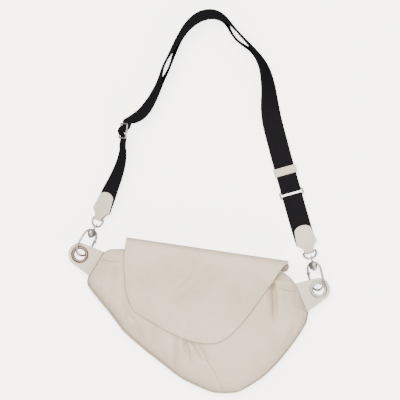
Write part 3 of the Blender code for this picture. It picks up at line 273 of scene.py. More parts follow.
def woven_cloth(name, tone, pitch=0.9 * mm):
    """Plain-woven cotton: matt, with a thread spacing that shows close up."""
    material, tree, shader = finish(name, Roughness=0.9, IOR=1.45, Sheen_Weight=0.25)
    place = add(tree, "TexCoord").outputs["Object"]
    warp = add(tree, "TexWave", {"Vector": place, "Scale": math.pi / 10 / pitch, "Distortion": 0.4},
               bands_direction="X")
    weft = add(tree, "TexWave", {"Vector": place, "Scale": math.pi / 10 / pitch, "Distortion": 0.4},
               bands_direction="Y")
    cross = add(tree, "Math", {0: warp.outputs["Fac"], 1: weft.outputs["Fac"]}, operation="MULTIPLY")
    base = linear(tone)
    tint = add(tree, "ValToRGB", {"Fac": cross.outputs[0]},
               [(0.0, [c * 0.72 for c in base[:3]] + [1.0]), (0.8, base)])
    tree.links.new(tint.outputs["Color"], shader.inputs["Base Color"])
    bump = add(tree, "Bump", {"Height": cross.outputs[0], "Strength": 0.4, "Distance": 0.15 * mm})
    tree.links.new(bump.outputs["Normal"], shader.inputs["Normal"])
    return material


def ribbed_webbing(name):
    """Polyester webbing woven in a tight herringbone: near black and matt, its ribs just visible."""
    material, tree, shader = finish(name, Roughness=0.85, IOR=1.45, Specular_IOR_Level=0.05)
    parts = add(tree, "SeparateXYZ", {"Vector": add(tree, "UVMap", uv_map="strip").outputs["UV"]})
    across, along = parts.outputs["X"], parts.outputs["Y"]
    rib_width, thread = 3.0 * mm, 1.3 * mm
    zigzag = add(tree, "Math", {0: across, 1: rib_width}, operation="PINGPONG")
    slanted = add(tree, "Math", {0: along, 1: zigzag.outputs[0]}, operation="ADD")
    saw = add(tree, "Math", {0: slanted.outputs[0], 1: thread}, operation="PINGPONG")
    ridge = add(tree, "Math", {0: saw.outputs[0], 1: thread}, operation="DIVIDE")
    fuzz = add(tree, "TexNoise", {"Vector": add(tree, "TexCoord").outputs["Object"],
                                  "Scale": 1 / (0.8 * mm), "Detail": 3.0})
    mixed = add(tree, "Math", {0: ridge.outputs[0], 1: fuzz.outputs["Fac"]}, operation="MULTIPLY")
    tint = add(tree, "ValToRGB", {"Fac": mixed.outputs[0]},
               [(0.05, linear("webbing")), (0.75, linear("webbing_high"))])
    tree.links.new(tint.outputs["Color"], shader.inputs["Base Color"])
    bump = add(tree, "Bump", {"Height": mixed.outputs[0], "Strength": 0.6, "Distance": 0.3 * mm})
    tree.links.new(bump.outputs["Normal"], shader.inputs["Normal"])
    return material


def plated_metal(name, tone, shade, roughness=0.46):
    """Nickel-plated zinc casting, barrel polished: satin, with an uneven haze."""
    material, tree, shader = finish(name, Metallic=1.0)
    place = add(tree, "TexCoord").outputs["Object"]
    haze = add(tree, "TexNoise", {"Vector": place, "Scale": 1 / (3 * mm), "Detail": 4.0})
    rough = add(tree, "MapRange", {"Value": haze.outputs["Fac"], "To Min": roughness - 0.06,
                                   "To Max": roughness + 0.10})
    tree.links.new(rough.outputs["Result"], shader.inputs["Roughness"])
    tint = add(tree, "ValToRGB", {"Fac": haze.outputs["Fac"]},
               [(0.3, linear(shade)), (0.6, linear(tone))])
    tree.links.new(tint.outputs["Color"], shader.inputs["Base Color"])
    fine = add(tree, "TexNoise", {"Vector": place, "Scale": 1 / (0.5 * mm), "Detail": 2.0})
    bump = add(tree, "Bump", {"Height": fine.outputs["Fac"], "Strength": 0.08,
                              "Distance": 0.03 * mm})
    tree.links.new(bump.outputs["Normal"], shader.inputs["Normal"])
    return material


def sewing_thread(name):
    """Bonded polyester thread, twisted: slightly glossy, a shade lighter than the hide."""
    material, tree, shader = finish(name, Roughness=0.55, IOR=1.5)
    place = add(tree, "TexCoord").outputs["Object"]
    twist = add(tree, "TexNoise", {"Vector": place, "Scale": 1 / (0.3 * mm), "Detail": 1.0})
    base = linear("thread")
    tint = add(tree, "ValToRGB", {"Fac": twist.outputs["Fac"]},
               [(0.3, [c * 0.8 for c in base[:3]] + [1.0]), (0.7, base)])
    tree.links.new(tint.outputs["Color"], shader.inputs["Base Color"])
    return material


def matt_paper(name):
    """Seamless pale paper that glows a little, as over a light table: plain, with a faint tooth."""
    material, tree, shader = finish(name, Roughness=0.95, Specular_IOR_Level=0.1,
                                    Emission_Strength=3.4)
    place = add(tree, "TexCoord").outputs["Object"]
    tooth = add(tree, "TexNoise", {"Vector": place, "Scale": 1 / (2 * mm), "Detail": 2.0})
    for socket in ("Base Color", "Emission Color"):
        shader.inputs[socket].default_value = linear("paper")
    bump = add(tree, "Bump", {"Height": tooth.outputs["Fac"], "Strength": 0.05,
                              "Distance": 0.05 * mm})
    tree.links.new(bump.outputs["Normal"], shader.inputs["Normal"])
    return material


hide_finish = soft_leather("milled_nappa", "nappa", "nappa_shade")
edge_finish = painted_edge("painted_edge")
lining_finish = woven_cloth("cotton_lining", "lining")
tape_finish = woven_cloth("zip_tape_weave", "zip_tape", 0.7 * mm)
webbing_finish = ribbed_webbing("herringbone_webbing")
metal_finish = plated_metal("nickel_plate", "nickel", "nickel_shade")
# Painted shade: the left eyelet and washer in a darker, warmer copy of the nickel.
left_nickel_painted_shade = plated_metal("nickel_plate_painted_shade", "nickel_in_painted_shade", "nickel_in_deeper_painted_shade", 0.38)
trim_finish = soft_leather("trim_nappa", "trim", "trim_shade", 0.9 * mm, 0.55)
thread_finish = sewing_thread("bonded_thread")
# The seam material is painted shade: a dark colour for the shade in seams, along joins and under the
# flap's edge.
seam_shade_finish = painted_edge("seam_shadow", "seam_shade", "edge_paint")
paper_finish = matt_paper("studio_paper")


# Shapes
def on_bag(x, y):
    """A place given in millimetres from the middle of the eyelets' line."""
    return Vector((eyelet_line.x + x * mm, eyelet_line.y + y * mm))


def on_plan(course):
    """A smooth course through places that are given in millimetres."""
    return spline([on_bag(*place) for place in course], 6)


def spline(points, steps):
    """A smooth course through the points, with that many steps between each pair."""
    points = [Vector(point) for point in points]
    guarded = [2 * points[0] - points[1]] + points + [2 * points[-1] - points[-2]]
    course = []
    for index in range(1, len(guarded) - 2):
        p0, p1, p2, p3 = guarded[index - 1:index + 3]
        for step in range(steps):
            t = step / steps
            course.append(0.5 * (2 * p1 + (p2 - p0) * t + (2 * p0 - 5 * p1 + 4 * p2 - p3) * t ** 2
                                 + (3 * p1 - p0 - 3 * p2 + p3) * t ** 3))
    course.append(points[-1])
    return course


def edge_reader(points):
    """Places along an edge, read by shares of its length."""
    course = np.array([list(point) for point in points])
    steps = np.linalg.norm(np.diff(course, axis=0), axis=1)
    reach = np.concatenate([[0], np.cumsum(steps)])
    reach /= reach[-1]
    return lambda share: np.stack([np.interp(share, reach, course[:, axis])
                                   for axis in range(course.shape[1])], axis=-1)


def crowded(share, weight):
    """Shares from 0 to 1 that stand closer together at both ends."""
    return (1 - weight) * share + weight * (0.5 - 0.5 * np.cos(np.pi * share))


def stretched_grid(top, low, left, right, columns, rows, weight=0.0):
    """A grid laid between four edges, and the place of each of its vertices on plan."""
    bm = bmesh.new()
    bmesh.ops.create_grid(bm, x_segments=columns, y_segments=rows, size=0.5)
    co = np.array([vert.co for vert in bm.verts])
    across = crowded(co[:, 0] + 0.5, weight)[:, None]
    down = crowded(0.5 - co[:, 1], weight)[:, None]
    top_line, low_line = top(across[:, 0]), low(across[:, 0])
    left_line, right_line = left(down[:, 0]), right(down[:, 0])
    corners = [edge(np.array([share]))[0] for edge in (top, low) for share in (0.0, 1.0)]
    place = (top_line * (1 - down) + low_line * down + left_line * (1 - across)
             + right_line * across - corners[0] * (1 - across) * (1 - down)
             - corners[1] * across * (1 - down) - corners[2] * (1 - across) * down
             - corners[3] * across * down)
    return bm, place


def body_point(share):
    """A place on the body's outline from its shares of width and drop."""
    return Vector((mouth[0] + share[0] * body_width, mouth[1] + share[1] * body_drop))


def flap_point(share):
    """A place on the flap's outline from its shares of width and drop."""
    return Vector((flap_low.x + share[0] * flap_width, flap_high.y + share[1] * flap_drop))


left_side = spline([body_point(s) for s in left_shoulder], 8)
right_side = spline([body_point(s) for s in right_shoulder], 8)
low_side = spline([body_point(s) for s in low_edge], 8)
body_loop = np.array([list(p) for p in left_side + low_side + right_side])
flap_sides = {name: spline([flap_point(s) for s in shares], 10)
              for name, shares in (("left", flap_left), ("foot", flap_foot), ("right", flap_right))}
flap_rim = flap_sides["left"] + flap_sides["foot"][1:] + flap_sides["right"][::-1][1:]


def outline_share(points):
    """How far each point lies from the mouth's middle towards the body's outline."""
    rays = points - mouth
    starts = body_loop[:-1] - mouth
    sides = body_loop[1:] - body_loop[:-1]
    cross = rays[:, None, 0] * sides[None, :, 1] - rays[:, None, 1] * sides[None, :, 0]
    cross[np.abs(cross) < 1e-12] = 1e-12
    reach = (starts[:, 0] * sides[:, 1] - starts[:, 1] * sides[:, 0])[None, :] / cross
    along = (starts[None, :, 0] * rays[:, None, 1] - starts[None, :, 1] * rays[:, None, 0]) / cross
    hit = (reach > 0) & (along >= -0.001) & (along <= 1.001)
    return np.clip(np.where(hit, 1 / np.where(hit, reach, 1), 0).max(axis=1), 0, 1)


def smoothstep(share):
    """An even rise from 0 to 1 that starts and ends flat."""
    share = np.clip(share, 0, 1)
    return share * share * (3 - 2 * share)


def front_height(points):
    """Height of the front's outer face before any fold."""
    share = outline_share(points)
    depth = (mouth[1] - points[:, 1]) / body_drop
    swell = mouth_rise_share + (1 - mouth_rise_share) * smoothstep(depth / peak_share)
    return seam_z + welt_rise + front_rise * np.sqrt(np.clip(1 - share ** 3, 0, 1)) * swell


def back_height(points):
    """Height of the back's outer face, flat in the middle and rising to the seam."""
    share = outline_share(points)
    crown = np.minimum(1.0, 1.05 * np.sqrt(np.clip(1 - share ** 6, 0, 1)))
    return (seam_z - welt_rise) * (1 - crown)


def course_distance(points, course):
    """Distance to a course and the share of its length at the nearest place."""
    course = np.array([list(p) for p in course])
    best = np.full(len(points), 1e9)
    where = np.zeros(len(points))
    lengths = np.linalg.norm(np.diff(course, axis=0), axis=1)
    total, passed = lengths.sum(), 0.0
    for start, end, length in zip(course, course[1:], lengths):
        side = (end - start) / length
        along = np.clip((points - start) @ side, 0, length)
        away = np.linalg.norm(points - start - along[:, None] * side, axis=1)
        near = away < best
        best[near] = away[near]
        where[near] = (passed + along[near]) / total
        passed += length
    return best, where


def crease(points, course, width, depth, fade_in, fade_out):
    """A furrow along a course, that half width wide, which fades in and out at its ends."""
    away, where = course_distance(points, on_plan(course))
    taper = smoothstep(where / fade_in) * smoothstep((1 - where) / fade_out)
    return -depth * mm * taper * np.exp(-(away / (width * mm)) ** 2)


def cloudy(points, size, seed):
    """Uneven, soft swells of about that size, from -1 to 1."""
    return np.array([noise.noise(Vector((x / size, y / size, seed))) for x, y in points])


def front_folds(points):
    """Broad folds and the soft unevenness of the milled hide."""
    lift = np.zeros(len(points))
    for course, width, _, fade_in, fade_out in darts:
        lift += crease(points, course, 7 * width, -0.9, fade_in, fade_out)
    for fold in folds:
        lift += crease(points, *fold)
    inner = 1 - outline_share(points)
    away, where = course_distance(points, low_side)
    pucker = np.exp(-away / (11 * mm)) * smoothstep(away / (3 * mm))
    ripple = np.array([noise.noise(Vector((w * 58, 3.0, 1.7))) for w in where])
    lift += 1.5 * mm * pucker * ripple
    lift += 1.6 * mm * cloudy(points, 46 * mm, 4.2) * smoothstep(inner / 0.12)
    return lift * smoothstep(inner / 0.012)


def narrow_folds(points):
    """Stitched darts and sharp creases, laid on the finished surface."""
    lift = np.zeros(len(points))
    for fold in darts + creases:
        lift += crease(points, *fold)
    return lift * smoothstep((1 - outline_share(points)) / 0.012)


def set_heights(bm, place, height):
    """Move each vertex to its place on plan and its height."""
    for vert, (x, y), z in zip(bm.verts, place, height):
        vert.co = (x, y, z)


def piece(name, bm, materials, body, replaced=()):
    """Turn a bmesh into a smooth piece that rides on a body and stands for its nodes."""
    mesh = bpy.data.meshes.new(name)
    bm.to_mesh(mesh)
    bm.free()
    for material in materials if isinstance(materials, (list, tuple)) else [materials]:
        mesh.materials.append(material)
    for polygon in mesh.polygons:
        polygon.use_smooth = True
    obj = bpy.data.objects.new(name, mesh)
    bpy.context.scene.collection.objects.link(obj)
    if body:
        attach(obj, body)
    if replaced:
        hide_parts(*replaced)
    return obj


def settle_modifiers(obj):
    """Apply an object's modifiers to its mesh."""
    graph = bpy.context.evaluated_depsgraph_get()
    mesh = bpy.data.meshes.new_from_object(obj.evaluated_get(graph))
    obj.modifiers.clear()
    obj.data = mesh


def refine(obj, lift=None):
    """One round of subdivision, then a height added to every vertex from its place on plan."""
    finer = obj.modifiers.new("finer", "SUBSURF")
    finer.levels = finer.render_levels = 1
    finer.boundary_smooth = "PRESERVE_CORNERS"
    settle_modifiers(obj)
    if lift:
        co = coordinates(obj.data)
        co[:, 2] += lift(co)
        obj.data.vertices.foreach_set("co", co.ravel())
        obj.data.update()


def coordinates(mesh):
    """All vertices' places as rows."""
    co = np.empty(3 * len(mesh.vertices))
    mesh.vertices.foreach_get("co", co)
    return co.reshape(-1, 3)


drape_frames = 20


def drape(obj, pinned, pressure, growth, reach):
    """Let the hide find its own soft forms: held where pinned, filled from inside, without weight.

    Pinned has a share for each vertex, growth is the hide's spare length as a share, and no
    vertex moves further than reach.
    """
    before = coordinates(obj.data)
    held = obj.vertex_groups.new(name="held")
    for index, weight in enumerate(pinned):
        held.add([index], float(weight), "REPLACE")
    modifier = obj.modifiers.new("drape", "CLOTH")
    cloth = modifier.settings
    cloth.vertex_group_mass = "held"
    cloth.quality = 8
    cloth.mass = 0.4
    cloth.tension_stiffness = cloth.compression_stiffness = 40
    cloth.shear_stiffness = 12
    cloth.bending_stiffness = 2.0
    cloth.tension_damping = cloth.compression_damping = cloth.shear_damping = 15
    cloth.use_pressure = True
    cloth.uniform_pressure_force = pressure
    cloth.shrink_min = -growth
    cloth.effector_weights.gravity = 0
    modifier.collision_settings.use_collision = False
    for step in range(1, drape_frames + 1):
        bpy.context.scene.frame_set(step)
    graph = bpy.context.evaluated_depsgraph_get()
    moved = coordinates(obj.evaluated_get(graph).data) - before
    obj.modifiers.clear()
    obj.vertex_groups.clear()
    bpy.context.scene.frame_set(1)
    far = np.linalg.norm(moved, axis=1, keepdims=True)
    moved *= np.minimum(1, reach / np.maximum(far, 1e-9))
    moved[:, :2] *= 0.5
    obj.data.vertices.foreach_set("co", (before + moved * (1 - np.array(pinned)[:, None])).ravel())
    obj.data.update()


def thicken(obj, thickness, rim=0):
    """Give the face a wall inwards, with its cut edges in the rim's material."""
    wall = obj.modifiers.new("wall", "SOLIDIFY")
    wall.thickness = thickness
    wall.offset = -1.0
    wall.use_even_offset = False
    wall.material_offset_rim = rim
    settle_modifiers(obj)


def relax(bm, rounds=6):
    """Even out the heights inside the edge."""
    inside = [vert for vert in bm.verts if not vert.is_boundary]
    for _ in range(rounds):
        bmesh.ops.smooth_vert(bm, verts=inside, factor=0.5, use_axis_z=True)


def face_up(bm, direction):
    """Turn the faces so that most look that way."""
    bm.normal_update()
    total = sum((face.normal * face.calc_area() for face in bm.faces), Vector())
    if total.dot(Vector(direction)) < 0:
        bmesh.ops.reverse_faces(bm, faces=bm.faces)


def body_patch(columns, rows):
    """A grid over the body's outline."""
    top = left_side[::-1] + right_side[::-1]
    return stretched_grid(edge_reader(top), edge_reader(low_side),
                          edge_reader([left_side[-1], low_side[0]]),
                          edge_reader([right_side[0], low_side[-1]]), columns, rows, 0.75)


def flap_patch(columns, rows, weight):
    """A grid over the flap's outline."""
    left, foot, right = (flap_sides[name] for name in ("left", "foot", "right"))
    return stretched_grid(edge_reader([left[0], right[0]]), edge_reader(foot), edge_reader(left),
                          edge_reader(right), columns, rows, weight)


def build_front():
    """The front leather, with its outer face on the front's height."""
    bm, place = body_patch(132, 74)
    height = front_height(place) + front_folds(place)
    set_heights(bm, place, np.maximum(height, seam_z + welt_rise))
    face_up(bm, (0, 0, 1))
    front = piece("front_leather", bm, [hide_finish, edge_finish], "bag", ("front_panel",))
    inner = 1 - outline_share(place)
    drape(front, 1 - smoothstep(inner / 0.04), pressure=2.0, growth=0.012, reach=2.5 * mm)
    refine(front, lambda co: narrow_folds(co[:, :2]))
    thicken(front, hide, 1)
    return front


def build_back():
    """The back leather that the bag lies on."""
    bm, place = body_patch(120, 70)
    inner = smoothstep((1 - outline_share(place)) / 0.1)
    height = back_height(place) + 0.5 * mm * inner * (1 + cloudy(place, 40 * mm, 2.2))
    set_heights(bm, place, height)
    face_up(bm, (0, 0, -1))
    back = piece("back_leather", bm, [hide_finish, edge_finish], "bag", ("back_panel",))
    thicken(back, hide, 1)


def build_linings():
    """The two linings, inside the leather and below the front's folds."""
    for name, height, side in (("front_lining", front_height, 1), ("back_lining", back_height, -1)):
        bm, place = body_patch(90, 50)
        inset = mouth + (place - mouth) * (1 - (hide + 2 * clear) / (body_width / 2))
        level = height(inset) - side * (hide + clear)
        if side > 0:
            level += np.minimum(front_folds(inset) + 1.4 * narrow_folds(inset), 0) - lining_drop
            level = np.maximum(level, seam_z + clear)
        else:
            level = np.minimum(level, seam_z - 2 * clear)
        set_heights(bm, inset, level)
        face_up(bm, (0, 0, side))
        lining = piece(name + "_cloth", bm, lining_finish, "bag", (name,))
        thicken(lining, lining_cloth)


def surface_of(*objects):
    """A tree that finds the height of the dressed surface below a place."""
    bm = bmesh.new()
    for obj in objects:
        bm.from_mesh(obj.data)
    tree = BVHTree.FromBMesh(bm)
    bm.free()
    return tree


def dropped(tree, x, y):
    """Where a plumb line meets the surface and its normal there, or None and None."""
    return tree.ray_cast(Vector((x, y, 1.0)), Vector((0, 0, -1)))[:2]


def height_over(tree, x, y, default):
    """Height of the surface at a place on plan."""
    place, _ = dropped(tree, x, y)
    return default if place is None else place.z


# The flap: one hide from the back wall, over the fold and down the front
fold_steps = 8
stack_rise = 2.7 * mm
flap_gap = 1.0 * mm
fold_run = 45 * mm
hem_reach = 3.2 * mm
fold_slant = 8 * mm


def flap_level(place, front_tree):
    """Height of the flap's outer face: over the front, easing up to the fold."""
    under = np.array([height_over(front_tree, x, min(y, mouth[1] - 0.2 * mm), seam_z)
                      for x, y in place])
    plain = front_height(np.stack([place[:, 0], np.minimum(place[:, 1], mouth[1])], axis=1))
    snap = np.linalg.norm(place - np.array([snap_place.x, snap_place.y]), axis=1) / (35 * mm)
    base = np.maximum(plain, under) + flap_gap + 2.9 * mm * np.exp(-snap ** 2)
    top = fold_high.z - hide
    share = smoothstep((crest_y - place[:, 1]) / fold_run)
    return np.maximum(base, top + (base - top) * share) + stack_rise


def flap_waves(place, border):
    """Soft rises where the hide drapes over the snap and the full body."""
    lift = 1.2 * mm * (cloudy(place, 62 * mm, 7.7) + 0.35)
    lift += 0.45 * mm * cloudy(place, 21 * mm, 1.9)
    for fold in flap_folds:
        lift += crease(place, *fold, fade_in=0.3, fade_out=0.4)
    return lift * smoothstep(border / (9 * mm))


def extend_over_fold(bm):
    """Carry the flap's top edge over the fold and down to the back."""
    loop = [edge for edge in bm.edges if edge.is_boundary
            and all(vert.co.y > flap_high.y - hair for vert in edge.verts)]
    crest_z = sum(vert.co.z for edge in loop for vert in edge.verts) / (2 * len(loop))
    profile = []
    for step in range(1, fold_steps + 1):
        angle = math.pi / 2 * step / fold_steps
        profile.append((flap_high.y + (fold_high.y - flap_high.y) * math.sin(angle),
                        crest_z - fold_bend * (1 - math.cos(angle))))
    drop = profile[-1][1] - clear
    profile += [(fold_high.y, profile[-1][1] - drop * share) for share in (0.25, 0.5, 0.75, 1.0)]
    for y, z in profile:
        made = bmesh.ops.extrude_edge_only(bm, edges=loop)["geom"]
        verts = [item for item in made if isinstance(item, bmesh.types.BMVert)]
        loop = [item for item in made if isinstance(item, bmesh.types.BMEdge)
                and all(v in set(verts) for v in item.verts)]
        for vert in verts:
            share = (vert.co.x - fold_low.x) / (fold_high.x - fold_low.x)
            lean = fold_slant * (y - vert.co.y) / fold_bend
            vert.co.x += lean * max(0.0, min(1.0, share))
            vert.co.y, vert.co.z = y, z


def in_order(bm):
    """Put edges and faces in a fixed order, so that the cloth gives the same result each run."""
    bm.verts.index_update()
    count = len(bm.verts)

    def rank(element):
        low, high = sorted(vert.index for vert in element.verts)[:2]
        return low * count + high

    bm.edges.sort(key=rank)
    bm.faces.sort(key=rank)


def hem(co):
    """The groove that the topstitch draws, and the roll of the painted edge."""
    border, _ = course_distance(co[:, :2], flap_rim)
    groove = -0.35 * mm * np.exp(-((border - hem_reach) / (0.6 * mm)) ** 2)
    roll = -0.8 * mm * (1 - smoothstep(border / (1.5 * mm)))
    return np.where(co[:, 1] < flap_high.y, groove + roll, 0)


def build_flap(front):
    """The flap's hide and its painted edge, a dark bead that is edge paint and painted shade of the
    gap under the edge; returns a tree of the hide's outer face.
    """
    bm, place = flap_patch(120, 66, 0.55)
    border, _ = course_distance(place, flap_rim)
    set_heights(bm, place, flap_level(place, surface_of(front)) + flap_waves(place, border))
    relax(bm)
    face_up(bm, (0, 0, 1))
    extend_over_fold(bm)
    bmesh.ops.recalc_face_normals(bm, faces=bm.faces)
    face_up(bm, (0, 0.2, 1))
    in_order(bm)
    flap = piece("flap_hide", bm, [hide_finish, edge_finish], None, ("flap_leather", "flap_fold"))
    co = coordinates(flap.data)
    border, _ = course_distance(co[:, :2], flap_rim)
    loose = smoothstep((border - 4 * mm) / (20 * mm)) * smoothstep((crest_y - co[:, 1]) / fold_run)
    drape(flap, 1 - loose, pressure=1.0, growth=0.010, reach=1.2 * mm)
    refine(flap, hem)
    thicken(flap, flap_wall, 1)
    outer_tree = surface_of(flap)
    bend_flap(flap)
    # The flap's edge bead is in the dark seam shade tone: edge paint, darkened as painted shade of
    # the gap under the flap's edge.
    painted = laid(inset_course(flap_rim, 0.2 * mm), outer_tree, 0.8 * mm, 420)
    bend_flap(bead("flap_edge_paint_and_shade", painted, 0.75 * mm, seam_shade_finish, None))
    return outer_tree


def bend_flap(obj):
    """Bake a piece's place into its mesh."""
    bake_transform(obj)


def build_flap_lining(front):
    """The cloth below the flap's hide, set in from its edge."""
    inset = 1.2 * mm
    bm, place = flap_patch(60, 34, 0.35)
    border, _ = course_distance(place, flap_rim)
    level = flap_level(place, surface_of(front)) + flap_waves(place, border)
    middle = place.mean(axis=0)
    away = place - middle
    place = middle + away * (1 - inset / np.linalg.norm(away, axis=1).clip(inset))[:, None]
    set_heights(bm, place, level)
    relax(bm)
    bmesh.ops.translate(bm, verts=bm.verts, vec=(0, 0, -flap_wall - clear))
    face_up(bm, (0, 0, 1))
    lining = piece("flap_lining_cloth", bm, lining_finish, None, ("flap_lining",))
    thicken(lining, lining_cloth)
    bend_flap(lining)


# Copies of nodes whose shape is right, merged so that their curves shade smoothly
def merged_copy(node):
    """A node's mesh with its doubled vertices merged."""
    bm = bmesh.new()
    bm.from_mesh(nodes[node].data)
    bmesh.ops.remove_doubles(bm, verts=bm.verts, dist=0.002 * mm)
    return bm


def finished(node, bm, material, angle):
    """The piece that stands for a node, with edges above that angle left sharp."""
    obj = piece(node + "_finished", bm, material, nodes[node]["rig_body"], (node,))
    obj.data.set_sharp_from_angle(angle=math.radians(angle))


def smooth_copy(node, material):
    """A cast or turned part."""
    finished(node, merged_copy(node), material, 38)


def soft_copy(node, material, softness=0.35 * mm):
    """A cut leather or cloth part: its sharp edges are rounded over."""
    bm = merged_copy(node)
    bmesh.ops.dissolve_limit(bm, angle_limit=math.radians(1), verts=bm.verts, edges=bm.edges)
    sharp = [edge for edge in bm.edges if edge.is_manifold
             and edge.calc_face_angle(0) > math.radians(35)]
    bmesh.ops.bevel(bm, geom=sharp, offset=softness, offset_type="OFFSET", affect="EDGES",
                    segments=3, profile=0.5, material=-1, clamp_overlap=True)
    bmesh.ops.triangulate(bm, faces=[face for face in bm.faces if len(face.verts) > 4])
    finished(node, bm, material, 50)


# Webbing
def strip_stations(node, near):
    """Read a strip's cross-sections in order, from the end that lies nearest to a place."""
    bm = merged_copy(node)
    ring = sorted(bm.verts, key=lambda vert: (vert.co - near).length)[:4]
    if node == "short_webbing":
        ring = sorted(bm.verts, key=lambda vert: (vert.co - near).xy.length)[:8]
        ring = sorted(ring, key=lambda vert: -vert.co.z)[:4]
    seen = set(ring)
    rings = []
    while ring:
        rings.append([vert.co.copy() for vert in ring])
        found = []
        for vert in ring:
            for edge in vert.link_edges:
                other = edge.other_vert(vert)
                if other not in seen:
                    seen.add(other)
                    found.append(other)
        ring = found
    bm.free()
    return rings


def strip_frames(rings):
    """Centre and direction across at each cross-section."""
    frames = []
    pair = max(((a, b) for a in rings[0] for b in rings[0]), key=lambda ab: (ab[0] - ab[1]).length)
    across = (pair[0] - pair[1]).normalized()
    for ring in rings:
        centre = sum(ring, Vector()) / len(ring)
        sides = sorted(ring, key=lambda p: (p - centre).dot(across))
        across = ((sides[2] + sides[3]) - (sides[0] + sides[1])).normalized()
        frames.append((centre, across.copy()))
    return frames


def lengths_to(rows):
    """Length of the course up to each row; the rows start with a place."""
    return np.concatenate([[0], np.cumsum(np.linalg.norm(np.diff(rows[:, :3], axis=0), axis=1))])


def eased(rows, steps):
    """A smooth course through unevenly spaced rows of numbers."""
    reach = lengths_to(rows)
    slopes = np.gradient(rows, reach, axis=0)
    course = []
    for start, end, low, high, t0, t1 in zip(rows, rows[1:], slopes, slopes[1:], reach, reach[1:]):
        for t in np.arange(steps) / steps:
            course.append((2 * t ** 3 - 3 * t ** 2 + 1) * start + (3 * t ** 2 - 2 * t ** 3) * end
                          + ((t ** 3 - 2 * t ** 2 + t) * low + (t ** 3 - t ** 2) * high) * (t1 - t0))
    return course + [rows[-1]]


def settled(frames):
    """Even out a strip's sections: its turn everywhere, its course only away from what holds it."""
    rows = np.array([(*centre, *across) for centre, across in frames])
    reach = lengths_to(rows)
    apart = np.minimum.reduce([np.linalg.norm(rows[:, :2] - np.array(box_middle(held))[:2], axis=1)
                               for held in ("adjuster", "rect_ring", "keeper",
                                            "dring_left", "dring_right")])
    free = np.clip((apart - 20 * mm) / (16 * mm), 0, 1)[:, None]
    calm = []
    for spread in (9 * mm, 7 * mm):
        share = np.exp(-((reach[:, None] - reach) / spread) ** 2 / 2) * np.gradient(reach)
        calm.append(share / share.sum(axis=1)[:, None] @ rows)
    rows[:, 3:] = calm[0][:, 3:]
    rows[:, :2] += free * (calm[1] - rows)[:, :2]
    return rows


def strip_profile(half, edge_roll, steps=10):
    """Places round a strip's cross-section, across and up, closed at its start."""
    shares = [-1 + 2 * step / steps for step in range(steps + 1)]
    upper = [(share * (half - edge_roll), edge_roll) for share in shares]
    lower = [(-share * (half - edge_roll), -edge_roll) for share in shares]
    return upper + [(half, 0.0)] + lower + [(-half, 0.0), upper[0]]


def strip(name, node, near):
    """A length of webbing laid along a node's sections, with rounded selvedges."""
    rings = [ring for ring in strip_stations(node, near) if len(ring) == 4]
    widths = sorted(max((a - b).length for a in ring for b in ring) for ring in rings)
    stations = eased(settled(strip_frames(rings)), 3)
    profile = strip_profile(widths[len(widths) // 2] / 2, webbing_wall / 2)
    columns, rows = len(profile) - 1, len(stations) - 1
    bm = bmesh.new()
    bmesh.ops.create_grid(bm, x_segments=columns, y_segments=rows, size=0.5)
    strip_uv = bm.loops.layers.uv.new("strip")
    reach = [0.0]
    for before, after in zip(stations, stations[1:]):
        reach.append(reach[-1] + np.linalg.norm(after[:3] - before[:3]))
    cells = {vert: (round((vert.co.x + 0.5) * columns), round((vert.co.y + 0.5) * rows))
             for vert in bm.verts}
    for face in bm.faces:
        for loop in face.loops:
            column, row = cells[loop.vert]
            loop[strip_uv].uv = (profile[column][0], reach[row])
    for vert, (column, row) in cells.items():
        station = stations[row]
        centre, across = Vector(station[:3]), Vector(station[3:]).normalized()
        ahead = Vector(stations[min(row + 1, rows)][:3]) - Vector(stations[max(row - 1, 0)][:3])
        face = across.cross(ahead).normalized()
        wide, high = profile[column]
        vert.co = centre + across * wide + face * high
    bmesh.ops.remove_doubles(bm, verts=bm.verts, dist=0.01 * mm)
    bmesh.ops.holes_fill(bm, edges=bm.edges, sides=0)
    bmesh.ops.recalc_face_normals(bm, faces=bm.faces)
    piece(name, bm, webbing_finish, "strap", (node,))


# Stitches
def stitch_row(name, course, tree, body, pitch=3.4 * mm, length=2.5 * mm, thread=0.5 * mm):
    """Separate stitches along a course, each lying on the dressed surface below it."""
    read = edge_reader(course)
    points = np.array([list(p) for p in course])
    total = np.linalg.norm(np.diff(points, axis=0), axis=1).sum()
    count = int(total / pitch)
    bm = bmesh.new()
    for index in range(count):
        middle = (index + 0.5) / count
        half = length / 2 / total
        ends = [read(np.array([share]))[0] for share in (middle - half, middle + half)]
        hits = [dropped(tree, x, y) for x, y in ends]
        if any(place is None for place, _ in hits):
            continue
        start, end = hits[0][0], hits[1][0]
        up = (hits[0][1] + hits[1][1]).normalized()
        along = (end - start).normalized()
        side = up.cross(along).normalized()
        up = along.cross(side)
        turn = Matrix((along * length / 2, side * thread / 2, up * thread / 2)).transposed().to_4x4()
        turn.translation = (start + end) / 2 + up * thread * 0.18
        bmesh.ops.create_uvsphere(bm, u_segments=6, v_segments=5, radius=1.0,
                                  matrix=turn @ Matrix.Rotation(math.pi / 2, 4, "Y"))
    return piece(name, bm, thread_finish, body)


def inset_course(course, reach):
    """A course moved to its left by that much."""
    points = [Vector(p) for p in course]
    moved = []
    for index, point in enumerate(points):
        along = points[min(index + 1, len(points) - 1)] - points[max(index - 1, 0)]
        moved.append(point + Vector((-along.y, along.x)).normalized() * reach)
    return moved


def bead(name, places, radius, material, body):
    """A round bead along a course in space."""
    data = bpy.data.curves.new(name, "CURVE")
    data.dimensions = "3D"
    data.bevel_depth, data.bevel_resolution, data.use_fill_caps = radius, 2, True
    line = data.splines.new("POLY")
    line.points.add(len(places) - 1)
    line.points.foreach_set("co", [value for place in places for value in (*place, 1.0)])
    drawn = bpy.data.objects.new(name, data)
    bpy.context.scene.collection.objects.link(drawn)
    bm = bmesh.new()
    bm.from_mesh(drawn.evaluated_get(bpy.context.evaluated_depsgraph_get()).to_mesh())
    bpy.data.objects.remove(drawn)
    return piece(name, bm, material, body)


